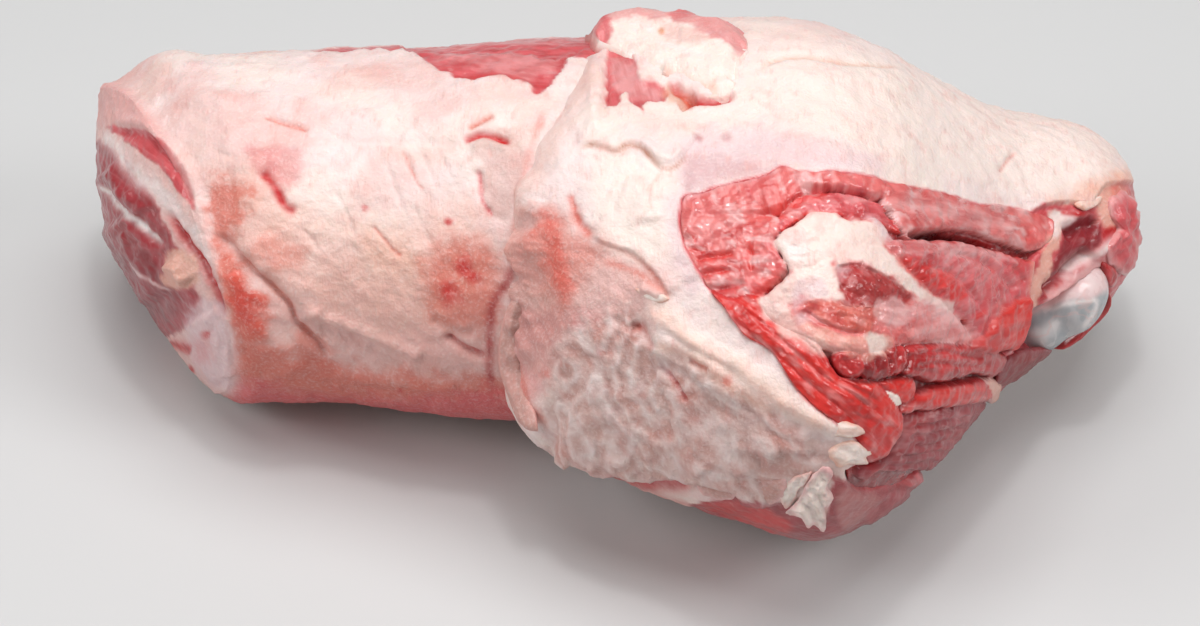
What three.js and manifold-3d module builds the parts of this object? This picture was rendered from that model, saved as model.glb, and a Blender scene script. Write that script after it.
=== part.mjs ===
// A raw neck of lamb lying on its side. A fat-covered barrel of meat, sawn across at its left end, tucks
// into the collar of a thicker body. The body's open side faces forward and up: there the fat is cut back
// to a window of lean with a curl of fat in its middle, and a bone end shows its cartilage at the right.
// Millimetres, +Z up, X along the joint, the open side towards -Y, the origin under the middle.
import * as THREE from 'three';
import { mergeVertices } from 'three/addons/utils/BufferGeometryUtils.js';
import Module from 'manifold-3d';

const degrees = THREE.MathUtils.degToRad;
const smooth = THREE.MathUtils.smoothstep;

// Driving dimensions

// Cross-sections from left to right: centre, half depth along Y and half height along Z.
const BARREL_SECTIONS = [
  { x: -114, y: 33, z: 39, halfDepth: 44, halfHeight: 40 },
  { x: -80, y: 33, z: 41, halfDepth: 46, halfHeight: 41 },
  { x: -50, y: 31, z: 44, halfDepth: 49, halfHeight: 42 },
  { x: -20, y: 28, z: 47, halfDepth: 51, halfHeight: 44 },
  { x: 10, y: 26, z: 48, halfDepth: 50, halfHeight: 43 },
  { x: 28, y: 26, z: 48, halfDepth: 44, halfHeight: 40 },
];
const BODY_SECTIONS = [
  { x: -26, y: 24, z: 47.5, halfDepth: 54, halfHeight: 44 },
  { x: 0, y: 16, z: 49.5, halfDepth: 64, halfHeight: 47.5 },
  { x: 24, y: 9, z: 50, halfDepth: 71, halfHeight: 50 },
  { x: 48, y: 3, z: 51, halfDepth: 73, halfHeight: 52 },
  { x: 64, y: 7, z: 49, halfDepth: 65, halfHeight: 48 },
  { x: 80, y: 17, z: 44, halfDepth: 54, halfHeight: 39 },
  { x: 96, y: 29, z: 40, halfDepth: 40, halfHeight: 30 },
  { x: 110, y: 36, z: 39, halfDepth: 33, halfHeight: 25 },
  { x: 122, y: 39, z: 39, halfDepth: 28, halfHeight: 22.5 },
  { x: 132, y: 40, z: 38, halfDepth: 25, halfHeight: 20 },
];
const BARREL_SQUARENESS = 2.15;
const BODY_SQUARENESS = 2.1;
// The weight of the meat squares off its underside towards the back.
const BARREL_SAG = 2.4;
const BODY_SAG = 0.6;
const FLOOR_Z = 0;

// The barrel's left end is sawn off at a slant, and its meat bulges out of the cut a little.
const CUT_END = { slantY: 0.48, slantZ: 0, straightAt: -30, bulge: 12, edgeRound: 6, edgeInset: 0.06 };
const CUT_GROOVE = { share: 0.72, spread: 0.14, depth: 1.8 };
const BARREL_TUCK = { length: 22, roundness: 2.5 };

// The body's collar laps over the barrel. Over the back its edge runs further right and fades into the
// barrel, and low at the front it hangs out as a roll of fat.
const COLLAR = { lip: 14, backLip: 34, roundness: 2.6, reach: 60, backShift: 24, frontAngle: degrees(150) };
const COLLAR_ROLL = { shift: -8, angle: degrees(198), spread: degrees(20) };
const COLLAR_WAVES = { depth: 2.2, count: 5, start: degrees(40) };
const BODY_NOSE = { length: 26, roundness: 2.6 };

// The open side is laid out on a plane that leans back: x runs along it and "up" climbs it.
const OPEN_SIDE = { tilt: degrees(42), middleY: -11, middleZ: 52 };
const OPEN_ANGLE = degrees(138);
const OPEN_SPREAD = { none: -0.1, full: 0.35 };

// Outline of the window where the fat is cut back to the lean, and how deep it lies.
const WINDOW_EDGE = [
  [15, 22], [36, 34], [59, 32], [90, 26], [101, 20],
  [96, 5], [88, -14], [62, -32], [46, -22], [30, -5],
];
const WINDOW = { depth: 4, slope: 3, outlineSteps: 60 };

// Ridges and hollows of the body's open side, as lines of [x, up] with a bell-shaped section.
const BODY_STROKES = [
  {
    name: 'curl of fat in the window',
    line: [[63, 9], [59, 19], [48, 20], [40, 12], [38, 2], [48, -5], [58, -4]],
    width: 5,
    height: 3.2,
  },
  { name: 'eye of lean inside the curl', line: [[54, 6], [64, -1]], width: 5, height: 1.6 },
  {
    name: 'upper muscle of the window',
    line: [[22, 24], [38, 28], [60, 27], [86, 21]],
    width: 5,
    height: 2.2,
  },
  { name: 'block of lean at the left', line: [[18, 21], [28, 14], [32, 6]], width: 6, height: 2.6 },
  {
    name: 'lower muscle of the window',
    line: [[34, -4], [46, -14], [58, -22], [64, -30]],
    width: 5.5,
    height: 3.6,
  },
  { name: 'right muscle of the window', line: [[70, 11], [80, 9], [90, 0]], width: 6, height: 3.4 },
  { name: 'lowest muscle of the window', line: [[56, -12], [70, -10], [84, -11]], width: 5.5, height: 2.6 },
  { name: 'groove under the right muscle', line: [[60, -8], [74, -5], [88, -9]], width: 4.5, height: -1.8 },
  { name: 'rim of the fat apron', line: [[6, -6], [24, -12], [39, -21], [54, -29]], width: 5.5, height: 3 },
  { name: 'sunken fat of the apron', line: [[-4, -18], [10, -24], [28, -34]], width: 8, height: -2.4 },
  {
    name: 'groove beside the collar roll',
    line: [[-21, 2], [-20, -14], [-13, -26]],
    width: 4.5,
    height: -2.4,
  },
  { name: 'fold in the collar fat', line: [[-10, 26], [-7, 18], [3, 14], [13, 4]], width: 4.5, height: -2 },
  { name: 'cushion below the fold', line: [[-16, 16], [-8, 8], [2, 3]], width: 7, height: 2 },
  {
    name: 'torn edge of the fat sheet',
    line: [[-11, 38], [5, 39], [12, 34], [20, 42]],
    width: 4.5,
    height: -1.8,
  },
  { name: 'lip over the torn edge', line: [[-10, 44], [6, 46], [24, 49]], width: 5, height: 1.6 },
  { name: 'seam above the window', line: [[34, 58], [50, 59], [72, 57]], width: 5, height: 1.4 },
  { name: 'torn corner of the apron', line: [[44, -25], [58, -29]], width: 4.5, height: 2.4 },
  { name: 'flap at the side of the gap', line: [[49, -34], [57, -33]], width: 4.5, height: 2 },
  { name: 'flap that hangs off the apron', line: [[46, -36], [42, -48]], width: 6, height: 2.6 },
  {
    name: 'fat edge above the end recess',
    line: [[95, 25], [106, 27], [116, 31]],
    width: 4.5,
    height: 2.2,
  },
  { name: 'end lobe', line: [[112, 17], [118, 12]], width: 5, height: 2 },
];
// Folds of the barrel's fat, in the same layout.
const BARREL_STROKES = [
  {
    name: 'fold from the cut end',
    line: [[-99, 19], [-84, 6], [-77, -3], [-69, -10]],
    width: 5,
    height: -2.2,
  },
  { name: 'roll below the fold', line: [[-94, 6], [-84, -8], [-76, -14]], width: 7, height: 1.6 },
  { name: 'roll along the underside', line: [[-78, 2], [-59, -6], [-48, -11]], width: 4.5, height: 1.6 },
  { name: 'crease before the collar', line: [[-43, -5], [-33, -11]], width: 4.5, height: -2 },
  { name: 'seam along the top', line: [[-116, 50], [-75, 45], [-37, 42]], width: 5, height: -1 },
  { name: 'strip of muscle on the top', line: [[-48, 63], [-30, 60], [-14, 62]], width: 6, height: 1.6 },
];
const BARREL_LUMPS = { height: 0.9, waveX: 19, round: 3 };
const BODY_LUMPS = { height: 1.1, waveX: 23, round: 3 };

// Narrow cuts into the open side: middle, half length, half width, depth, and turn on the surface there.
const SLITS = [
  { name: 'slit in the lean', x: 81, up: 17, halfLength: 12, halfWidth: 1.3, depth: 5, turn: degrees(-6) },
  { name: 'gap under the lean', x: 60, up: -38, halfLength: 8, halfWidth: 1.6, depth: 7, turn: degrees(2) },
  { name: 'end recess', x: 105, up: 14, halfLength: 10, halfWidth: 3.2, depth: 6, turn: degrees(52) },
  { name: 'gap under the lobe', x: 19, up: 53, halfLength: 9, halfWidth: 1.4, depth: 5, turn: degrees(-8) },
];
// A tongue of fat laid over the top of the body.
const LOBE = { x: 14, y: 34, z: 96.5, halfLength: 18, halfDepth: 18, halfHeight: 5, lean: degrees(-19) };

// The bone end at the right: a rounded head with a shallow groove, held in a close socket.
const BONE = { x: 107.5, y: 12, z: 35, halfLength: 16, halfDepth: 12, halfHeight: 11 };
const BONE_GROOVE = { depth: 1.4, spread: 0.22 };
const BONE_TURN = { yaw: degrees(14), roll: degrees(30) };
const SOCKET_CLEARANCE = 0.4;

// The sizes above are set out from a point near the middle; this brings the middle of the box to the origin.
const CENTRING = { x: 1, y: -4 };

const OPEN_CROWDING = 0.45;
const BARREL_GRID = { around: 42, along: 34, capRings: 7 };
const BODY_GRID = { around: 60, along: 60 };
const SLIT_GRID = { around: 14, along: 10 };
const BONE_GRID = { around: 24, along: 16 };
const SEARCH_GRID = 70;
const PATCH = { share: 0.04, turn: degrees(8) };

const COLOURS = { meat: 0xe3bfb4, bone: 0xaeb6bc };

// Curves through named sizes

// A smooth curve through the sections: a cubic spline of one of their sizes, read at x.
function sizeAt(sections, size, x) {
  const last = sections.length - 2;
  const found = sections.findIndex((section, k) => k <= last && x <= sections[k + 1].x);
  const i = found < 0 ? last : found;
  const slopeAt = (k) => {
    const before = sections[Math.max(k - 1, 0)];
    const after = sections[Math.min(k + 1, sections.length - 1)];
    return (after[size] - before[size]) / (after.x - before.x);
  };
  const span = sections[i + 1].x - sections[i].x;
  const t = THREE.MathUtils.clamp((x - sections[i].x) / span, 0, 1);
  const start = (1 + 2 * t) * (1 - t) ** 2 * sections[i][size] + t * (1 - t) ** 2 * span * slopeAt(i);
  const end = t * t * (3 - 2 * t) * sections[i + 1][size] + t * t * (t - 1) * span * slopeAt(i + 1);
  return start + end;
}

// The radius of a squarish oval at an angle measured from +Y towards +Z, squarer below by the sag.
function ovalRadius(halfDepth, halfHeight, squareness, sag, angle) {
  const power = squareness + sag * smooth(-Math.sin(angle), 0, 0.7) * smooth(Math.cos(angle), -0.3, 0.4);
  const depthPart = Math.abs(Math.cos(angle)) / halfDepth;
  const heightPart = Math.abs(Math.sin(angle)) / halfHeight;
  return (depthPart ** power + heightPart ** power) ** (-1 / power);
}

// A rounded end: 0 at the tip, 1 once the distance from the tip reaches the length.
function roundedEnd(distance, length, roundness) {
  const share = 1 - THREE.MathUtils.clamp(distance / length, 0, 1);
  return (1 - share ** roundness) ** (1 / roundness);
}

function lumpHeight(lumps, x, angle) {
  const spiral = Math.sin(x / lumps.waveX + angle);
  const bumps = Math.cos(lumps.round * angle - x / lumps.waveX);
  return lumps.height * (spiral + bumps) / 2;
}

// Relief on the open side

function openSideOf(point) {
  const up = (point.y - OPEN_SIDE.middleY) * Math.sin(OPEN_SIDE.tilt)
    + (point.z - OPEN_SIDE.middleZ) * Math.cos(OPEN_SIDE.tilt);
  return new THREE.Vector3(point.x, up, 0);
}

// How much a direction round the joint faces the open side, from 0 to 1.
function openness(angle) {
  return smooth(Math.cos(angle - OPEN_ANGLE), OPEN_SPREAD.none, OPEN_SPREAD.full);
}

const asPoints = (line) => line.map(([x, up]) => new THREE.Vector3(x, up, 0));

function distanceToPoints(points, place) {
  const nearest = new THREE.Vector3();
  const segment = new THREE.Line3();
  const distances = points.slice(1).map((end, k) => (
    segment.set(points[k], end).closestPointToPoint(place, true, nearest).distanceTo(place)
  ));
  return Math.min(...distances);
}

// A ridge or hollow with a bell-shaped section along a line.
function strokeHeight(stroke, place) {
  stroke.points ??= asPoints(stroke.line);
  return stroke.height * Math.exp(-((distanceToPoints(stroke.points, place) / stroke.width) ** 2));
}

function strokesHeight(strokes, place) {
  return strokes.reduce((sum, stroke) => sum + strokeHeight(stroke, place), 0);
}

const windowCurve = new THREE.CatmullRomCurve3(asPoints(WINDOW_EDGE), true);
const windowOutline = windowCurve.getPoints(WINDOW.outlineSteps);

// Whether a place is inside a closed outline, by counting the sides to its right.
function isInside(outline, place) {
  const crossings = outline.slice(1).filter((b, k) => {
    const a = outline[k];
    const spans = (a.y > place.y) !== (b.y > place.y);
    return spans && place.x < a.x + ((place.y - a.y) * (b.x - a.x)) / (b.y - a.y);
  });
  return crossings.length % 2 === 1;
}

function windowDepth(place) {
  const distance = distanceToPoints(windowOutline, place);
  const inward = isInside(windowOutline, place) ? distance : -distance;
  return WINDOW.depth * smooth(inward, -WINDOW.slope, WINDOW.slope);
}

// Closed surfaces

// A sphere's rings and meridians carried onto a shape: pointAt(share along, angle round) gives each vertex.
function closedSurface({ around, along }, pointAt) {
  const geometry = new THREE.SphereGeometry(1, around, along);
  const position = geometry.getAttribute('position');
  const columns = around + 1;
  for (let i = 0; i < position.count; i++) {
    const ring = Math.floor(i / columns);
    const column = (columns - 1 - (i % columns)) % around;
    const point = pointAt(ring / along, (2 * Math.PI * column) / around);
    position.setXYZ(i, point.x, point.y, point.z);
  }
  geometry.deleteAttribute('normal');
  geometry.deleteAttribute('uv');
  return mergeVertices(geometry);
}

// Angles crowd towards the open side, where the relief is.
const crowdedAngle = (turn) => turn - OPEN_CROWDING * Math.sin(turn - OPEN_ANGLE);

function barrelPoint(share, turn) {
  const first = BARREL_SECTIONS[0].x;
  const last = BARREL_SECTIONS.at(-1).x;
  const capShare = BARREL_GRID.capRings / BARREL_GRID.along;
  const onCap = Math.min(share / capShare, 1);
  const x = first + (last - first) * Math.max((share - capShare) / (1 - capShare), 0);
  const angle = crowdedAngle(turn);
  const size = (name) => sizeAt(BARREL_SECTIONS, name, x);
  const edge = 1 - CUT_END.edgeInset * (1 - smooth(x - first, 0, CUT_END.edgeRound));
  const ends = onCap * edge * roundedEnd(last - x, BARREL_TUCK.length, BARREL_TUCK.roundness);
  const oval = ovalRadius(size('halfDepth'), size('halfHeight'), BARREL_SQUARENESS, BARREL_SAG, angle);
  const slant = 1 - smooth(x, first, CUT_END.straightAt);
  const groove = CUT_GROOVE.depth * Math.exp(-(((onCap - CUT_GROOVE.share) / CUT_GROOVE.spread) ** 2));
  const bulge = CUT_END.bulge * (1 - onCap ** 2) - (onCap < 1 ? groove : 0);
  const pointAt = (radius) => {
    const across = radius * Math.cos(angle);
    const above = radius * Math.sin(angle);
    const back = slant * (CUT_END.slantY * across + CUT_END.slantZ * above) + bulge;
    return new THREE.Vector3(x - back, size('y') + across, size('z') + above);
  };
  const plain = oval * ends;
  const folds = openness(angle) * strokesHeight(BARREL_STROKES, openSideOf(pointAt(plain)));
  const point = pointAt(plain + ends * (folds + lumpHeight(BARREL_LUMPS, x, angle)));
  point.z = Math.max(point.z, FLOOR_Z);
  return point;
}

// How far the collar's edge is set to the right at an angle round the joint.
function collarShift(angle) {
  const towardsBack = (1 - Math.cos(angle - COLLAR.frontAngle)) / 2;
  const roll = Math.exp(-(((angle - COLLAR_ROLL.angle) / COLLAR_ROLL.spread) ** 2));
  const waves = COLLAR_WAVES.depth * Math.sin(COLLAR_WAVES.count * angle + COLLAR_WAVES.start);
  return COLLAR.backShift * towardsBack + COLLAR_ROLL.shift * roll + waves;
}

function bodyPoint(share, turn) {
  const first = BODY_SECTIONS[0].x;
  const last = BODY_SECTIONS.at(-1).x;
  const x = first + (last - first) * (1 - Math.cos(Math.PI * share)) / 2;
  const angle = crowdedAngle(turn);
  const size = (name) => sizeAt(BODY_SECTIONS, name, x);
  const lip = COLLAR.lip + COLLAR.backLip * (1 - openness(angle));
  const ends = roundedEnd(x - first, lip, COLLAR.roundness)
    * roundedEnd(last - x, BODY_NOSE.length, BODY_NOSE.roundness);
  const oval = ovalRadius(size('halfDepth'), size('halfHeight'), BODY_SQUARENESS, BODY_SAG, angle);
  const shift = collarShift(angle) * ends * (1 - smooth(x, first, first + COLLAR.reach));
  const pointAt = (radius) => new THREE.Vector3(
    x + shift,
    size('y') + radius * Math.cos(angle),
    size('z') + radius * Math.sin(angle),
  );
  const plain = oval * ends;
  const place = openSideOf(pointAt(plain));
  const relief = openness(angle) * (strokesHeight(BODY_STROKES, place) - windowDepth(place));
  const point = pointAt(plain + ends * (relief + lumpHeight(BODY_LUMPS, x, angle)));
  point.z = Math.max(point.z, FLOOR_Z);
  return point;
}

// A ball squashed to three half sizes.
function squashedBall(grid, halfX, halfY, halfZ) {
  return closedSurface(grid, (share, angle) => {
    const ring = Math.sin(Math.PI * share);
    const along = -Math.cos(Math.PI * share);
    return new THREE.Vector3(halfX * along, halfY * ring * Math.cos(angle), halfZ * ring * Math.sin(angle));
  });
}

// The share along and turn round of the body's point that is seen at a place of the open side's plane.
function bodyShareSeenAt(x, up) {
  const wanted = new THREE.Vector3(x, up, 0);
  let best = null;
  let bestDistance = Infinity;
  for (let i = 1; i < SEARCH_GRID; i++) {
    for (let j = 0; j < SEARCH_GRID; j++) {
      const share = i / SEARCH_GRID;
      const turn = OPEN_ANGLE + Math.PI * (j / SEARCH_GRID - 0.5);
      const distance = openSideOf(bodyPoint(share, turn)).distanceTo(wanted);
      if (distance < bestDistance) {
        best = { share, turn };
        bestDistance = distance;
      }
    }
  }
  return best;
}

// The body's outward direction, taken across a patch that is wider than its small relief.
function bodyOutward({ share, turn }) {
  const alongBody = bodyPoint(share + PATCH.share, turn).sub(bodyPoint(share - PATCH.share, turn));
  const roundBody = bodyPoint(share, turn + PATCH.turn).sub(bodyPoint(share, turn - PATCH.turn));
  return new THREE.Vector3().crossVectors(alongBody, roundBody).normalize();
}

// A squashed ball set into the open side: long and wide on the surface there, deep straight into it.
function slitSurface({ x, up, halfLength, halfWidth, depth, turn }) {
  const seen = bodyShareSeenAt(x, up);
  const outward = bodyOutward(seen);
  const level = new THREE.Vector3(1, 0, 0);
  const along = level.addScaledVector(outward, -level.dot(outward)).normalize().applyAxisAngle(outward, turn);
  const across = new THREE.Vector3().crossVectors(outward, along);
  const place = bodyPoint(seen.share, seen.turn);
  const matrix = new THREE.Matrix4().makeBasis(along, across, outward).setPosition(place);
  return squashedBall(SLIT_GRID, halfLength, halfWidth, depth).applyMatrix4(matrix);
}

function lobeSurface() {
  const ball = squashedBall(BONE_GRID, LOBE.halfLength, LOBE.halfDepth, LOBE.halfHeight);
  return ball.rotateX(LOBE.lean).translate(LOBE.x, LOBE.y, LOBE.z);
}

// The bone's head: a squashed ball with a groove round its middle, grown by the clearance for its socket.
function boneSurface(grow) {
  const head = closedSurface(BONE_GRID, (share, angle) => {
    const along = -Math.cos(Math.PI * share);
    const ring = Math.sin(Math.PI * share);
    const pinch = BONE_GROOVE.depth * Math.exp(-((along / BONE_GROOVE.spread) ** 2));
    return new THREE.Vector3(
      (BONE.halfLength + grow) * along,
      (BONE.halfDepth + grow - pinch) * ring * Math.cos(angle),
      (BONE.halfHeight + grow - pinch) * ring * Math.sin(angle),
    );
  });
  return head.rotateY(-BONE_TURN.roll).rotateZ(BONE_TURN.yaw).translate(BONE.x, BONE.y, BONE.z);
}

// Joining and cutting

const wasm = await Module();
wasm.setup();

function solidOf(geometry) {
  const triVerts = new Uint32Array(geometry.index.array);
  const vertProperties = new Float32Array(geometry.getAttribute('position').array);
  return new wasm.Manifold(new wasm.Mesh({ numProp: 3, vertProperties, triVerts }));
}

function geometryOf(solid) {
  const mesh = solid.getMesh();
  const geometry = new THREE.BufferGeometry();
  geometry.setAttribute('position', new THREE.BufferAttribute(new Float32Array(mesh.vertProperties), 3));
  geometry.setIndex(new THREE.BufferAttribute(new Uint32Array(mesh.triVerts), 1));
  geometry.computeVertexNormals();
  return geometry;
}

const barrel = solidOf(closedSurface(BARREL_GRID, barrelPoint));
const body = solidOf(closedSurface(BODY_GRID, bodyPoint));
const slits = SLITS.map((slit) => solidOf(slitSurface(slit)));
const joined = barrel.add(body).add(solidOf(lobeSurface()));
const cuts = [...slits, solidOf(boneSurface(SOCKET_CLEARANCE))];
const meatSolid = cuts.reduce((meat, cut) => meat.subtract(cut), joined);

const meat = new THREE.Mesh(
  geometryOf(meatSolid).translate(CENTRING.x, CENTRING.y, 0),
  new THREE.MeshStandardMaterial({ color: COLOURS.meat, roughness: 0.45, metalness: 0 }),
);
meat.name = 'meat';

const bone = new THREE.Mesh(
  boneSurface(0).translate(CENTRING.x, CENTRING.y, 0),
  new THREE.MeshStandardMaterial({ color: COLOURS.bone, roughness: 0.25, metalness: 0 }),
);
bone.name = 'bone_end';

const lambNeck = new THREE.Group();
lambNeck.name = 'raw_lamb_neck';
lambNeck.add(meat, bone);

export default lambNeck;
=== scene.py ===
"""Raw neck of lamb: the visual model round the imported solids, laid out as an add-on and run as a script.

The joint is worked out in millimetres in the solids' own frame. Features of its open side are placed by the
pixel at which the photograph shows them: the camera's formula gives the pixel of every point of a surface.
"""
import itertools
import math
from collections import namedtuple

import bpy
import numpy as np
from bpy.props import FloatProperty, FloatVectorProperty, PointerProperty
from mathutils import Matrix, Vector


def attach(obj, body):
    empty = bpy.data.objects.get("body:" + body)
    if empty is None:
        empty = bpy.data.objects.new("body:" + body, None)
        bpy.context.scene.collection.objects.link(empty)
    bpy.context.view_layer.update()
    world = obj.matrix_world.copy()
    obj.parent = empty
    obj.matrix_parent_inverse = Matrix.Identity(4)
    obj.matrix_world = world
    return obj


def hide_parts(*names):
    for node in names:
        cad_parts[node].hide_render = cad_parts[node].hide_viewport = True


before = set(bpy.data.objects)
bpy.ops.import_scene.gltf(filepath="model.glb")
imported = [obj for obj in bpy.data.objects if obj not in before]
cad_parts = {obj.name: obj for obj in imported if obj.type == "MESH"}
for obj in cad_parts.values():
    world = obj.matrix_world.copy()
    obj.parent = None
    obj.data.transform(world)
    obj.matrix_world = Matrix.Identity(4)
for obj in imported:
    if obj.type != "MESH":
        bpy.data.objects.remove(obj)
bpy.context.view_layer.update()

bl_info = {
    "name": "Raw Lamb Neck",
    "version": (1, 0, 0),
    "blender": (4, 5, 0),
    "location": "View3D > Sidebar > Lamb Neck",
    "description": "Builds a raw neck of lamb with its fat, lean and bone end",
    "category": "Add Mesh",
}

MM = 0.001

# The camera: elevation, focal length in pixels of the 1200 by 626 frame, and where it looks, in mm.
ELEVATION = math.radians(42)
SIN_E, COS_E = math.sin(ELEVATION), math.cos(ELEVATION)
FOCAL = 3250.0
DISTANCE = 780.0
FRAME_SIZE = np.array([1200.0, 626.0])
TARGET = np.array([-3.0, -15.0, 52.0])
EYE = TARGET + DISTANCE * np.array([0.0, -COS_E, SIN_E])
MM_PER_PX = 0.236

# Finding the surface under a pixel: a table's cell in pixels, how squarely a vertex has to face the camera to
# count in it, the number of steps that better its value, their damping, the miss in pixels past which its value is
# kept, and the size and limit of a step.
CELL, SHOWN_FROM = 4.0, 0.1
SEAT_STEPS, SEAT_DAMPING, SEAT_MISS = 10, 0.02, 16
SEAT_Q_STEP, SEAT_Q_LIMIT = 1 / 600, 12
SEAT_TURN_STEP, SEAT_TURN_LIMIT = 1 / 200, 20

# Grids: rings and turns of each piece, and the rings that close a patch underneath.
CAP_RINGS, RIM_RINGS, SIDE_RINGS, BARREL_AROUND = 80, 16, 196, 320
BODY_RINGS, BODY_AROUND = 292, 336
LEAN_RINGS, LEAN_AROUND = 176, 470
TONGUE_RINGS, TONGUE_AROUND = 80, 240
FLAP_RINGS, FLAP_AROUND = 26, 120
ROLL_RINGS, ROLL_AROUND = 90, 40
BONE_RINGS, BONE_AROUND = 66, 90
PATCH_UNDERSIDE = 10
RIM_SHARE, BODY_END_CROWDING = 0.045, 0.35

# How features end: sizes in mm of the fine and the coarse noise that frays them, how much both shift ridges and
# steps, how far these reach in widths, shares of a line over which they taper off, and a spot's heart and edge.
FRAY_SIZE, WOBBLE_SIZE = 4.0, 13.0
RIDGE_FRAY, RIDGE_WOBBLE, RIDGE_ROUGHNESS = 0.2, 0.5, 0.35
STEP_FRAY, STEP_WOBBLE = 1.5, 2.0
RIDGE_REACH, STEP_REACH = 3, 2.5
RIDGE_TAPER, STEP_TAPER = 0.12, 0.06
SPOT_HEART, SPOT_EDGE, SPOT_ROUGHNESS = 0.2, 1.3, 0.35

# The turn to the camera over which pixel features fade in, the radius at which a skin is unrolled for the features
# of its back, and the height in mm under which relief dies out.
FACING_FROM, FACING_TO = -0.3, -0.12
ARC_RADIUS = 50.0
REST_HEIGHT = 8.0

# The apron's flakes: terraces that its slow noise passes through, and the height of one in mm.
APRON_TERRACES, APRON_TERRACE_HEIGHT = 2.6, 0.6

# How wet fat and lean are, from 0 to 1.
FAT_WETNESS, LEAN_WETNESS = 0.4, 0.8

# Lean: share of a muscle's height at its edge, pixels within which it meets the window's rim and by which it then
# runs past it, stretch of streaks along the grain, mm between the grains of two bundles, level and depth in mm.
BULGE_BASE = 0.4
RIM_REACH, RIM_OVERRUN = 5.0, 9.0
STREAK = (0.16, 1.0, 1.0)
BUNDLE_STEP = 3.7
LEAN_LEVEL, LEAN_DEPTH = 2.3, 6.0

# Flaps and rolls: fray of a flap's outline and its size in mm, depths in mm to which a flap is sunk under its free
# end, at its root, and where it doesn't lift; stretch of the lumps along the grain.
FLAP_FRAY, FLAP_FRAY_SIZE = 0.10, 2.6
FLAP_FREE_DEPTH, FLAP_ROOT_DEPTH, FLAP_FLAT_DEPTH = 0.25, 1.6, 2.0
LUMP_STRETCH = (0.2, 1, 1)

# The bone end in mm and degrees, before CENTRING.
BONE_HALF_DEPTH, BONE_HALF_HEIGHT = 12.0, 11.0
BONE_PINCH, BONE_PINCH_WIDTH = 1.4, 0.22
BONE_ROLL, BONE_YAW = math.radians(30), math.radians(14)
BONE_PLACE = (107.5, 12, 35)

# The tongue of fat: the plane that carries it, in mm, its middle in pixels, its depth and flare underneath.
TONGUE_SEAT = np.array([23.4, 9.8, 100.2])
TONGUE_NORMAL = np.array([-0.155, 0.102, 0.983])
TONGUE_MIDDLE = (672.0, 52.0)
TONGUE_DEPTH, TONGUE_FLARE = 11.0, 0.09

# The collar's roll: the rows of the picture between which it passes from the barrel to the body, the way that
# it faces there, and how far it stands off in mm.
ROLL_ROWS = (372.0, 414.0)
ROLL_FRONT = np.array([-0.42, -0.82, 0.38])
ROLL_STAND = 2.8

# Lights: name, place and size in metres, power in watts.
LIGHTS = (
    ("key", (0.04, 0.08, 1.10), 0.9, 8.3),
    ("fill", (0.85, -0.35, 0.80), 0.4, 4.2),
    ("side", (-0.90, -0.30, 0.75), 0.5, 4.6),
    ("glint", (0.02, -0.04, 0.95), 0.1, 1.2),
)
LIGHTS_AIM = (0.0, 0.0, 0.05)
SKY_COLOUR, SKY_STRENGTH = (1.0, 0.99, 0.98, 1), 0.18
SENSOR_WIDTH = 36.0

# The solids' sections from left to right: x, middle y and z, half depth and half height, in mm.
BARREL_SECTIONS = np.array([
    [-114, 33, 39, 44, 40],
    [-80, 33, 41, 46, 41],
    [-50, 31, 44, 49, 42],
    [-20, 28, 47, 51, 44],
    [10, 26, 48, 50, 43],
    [28, 26, 48, 44, 40],
], float)
BODY_SECTIONS = np.array([
    [-26, 24, 47.5, 54, 44],
    [0, 16, 49.5, 64, 47.5],
    [24, 9, 50, 71, 50],
    [48, 3, 51, 73, 52],
    [64, 7, 49, 65, 48],
    [80, 17, 44, 54, 39],
    [96, 29, 40, 40, 30],
    [110, 36, 39, 33, 25],
    [122, 39, 39, 28, 22.5],
    [132, 40, 38, 25, 20],
], float)
CENTRING = np.array([1.0, -4.0, 0.0])
BARREL_SQUARENESS, BARREL_SAG = 2.15, 2.4
BODY_SQUARENESS, BODY_SAG = 2.1, 0.6
CUT_SLANT, CUT_STRAIGHT_AT, CUT_BULGE = 0.48, -30.0, 12.0
CUT_EDGE_ROUND, CUT_EDGE_INSET = 6.0, 0.06
CUT_TOP_ROUND, CUT_TOP_INSET = 12.0, 0.09
BARREL_TUCK, END_ROUNDNESS = 22.0, 2.55
COLLAR_LIP, COLLAR_BACK_LIP, COLLAR_REACH = 14.0, 34.0, 60.0
COLLAR_BACK_SHIFT, COLLAR_FRONT = 24.0, math.radians(150)
ROLL_SHIFT, ROLL_ANGLE, ROLL_SPREAD = -8.0, math.radians(198), math.radians(20)
COLLAR_WAVE, COLLAR_WAVE_COUNT, COLLAR_WAVE_START = 2.2, 5, math.radians(40)
NOSE_LENGTH = 26.0
OPEN_ANGLE = math.radians(138)
OPEN_CROWDING = 0.55
BARREL_LUMP, BARREL_LUMP_LENGTH = 0.9, 19.0
BODY_LUMP, BODY_LUMP_LENGTH = 1.1, 23.0


# Numbers and curves

def smooth(x, low, high):
    """0 below low, 1 above high, and the cubic 3t^2 - 2t^3 between."""
    t = np.clip((np.asarray(x, float) - low) / (high - low), 0, 1)
    return t * t * (3 - 2 * t)


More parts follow.
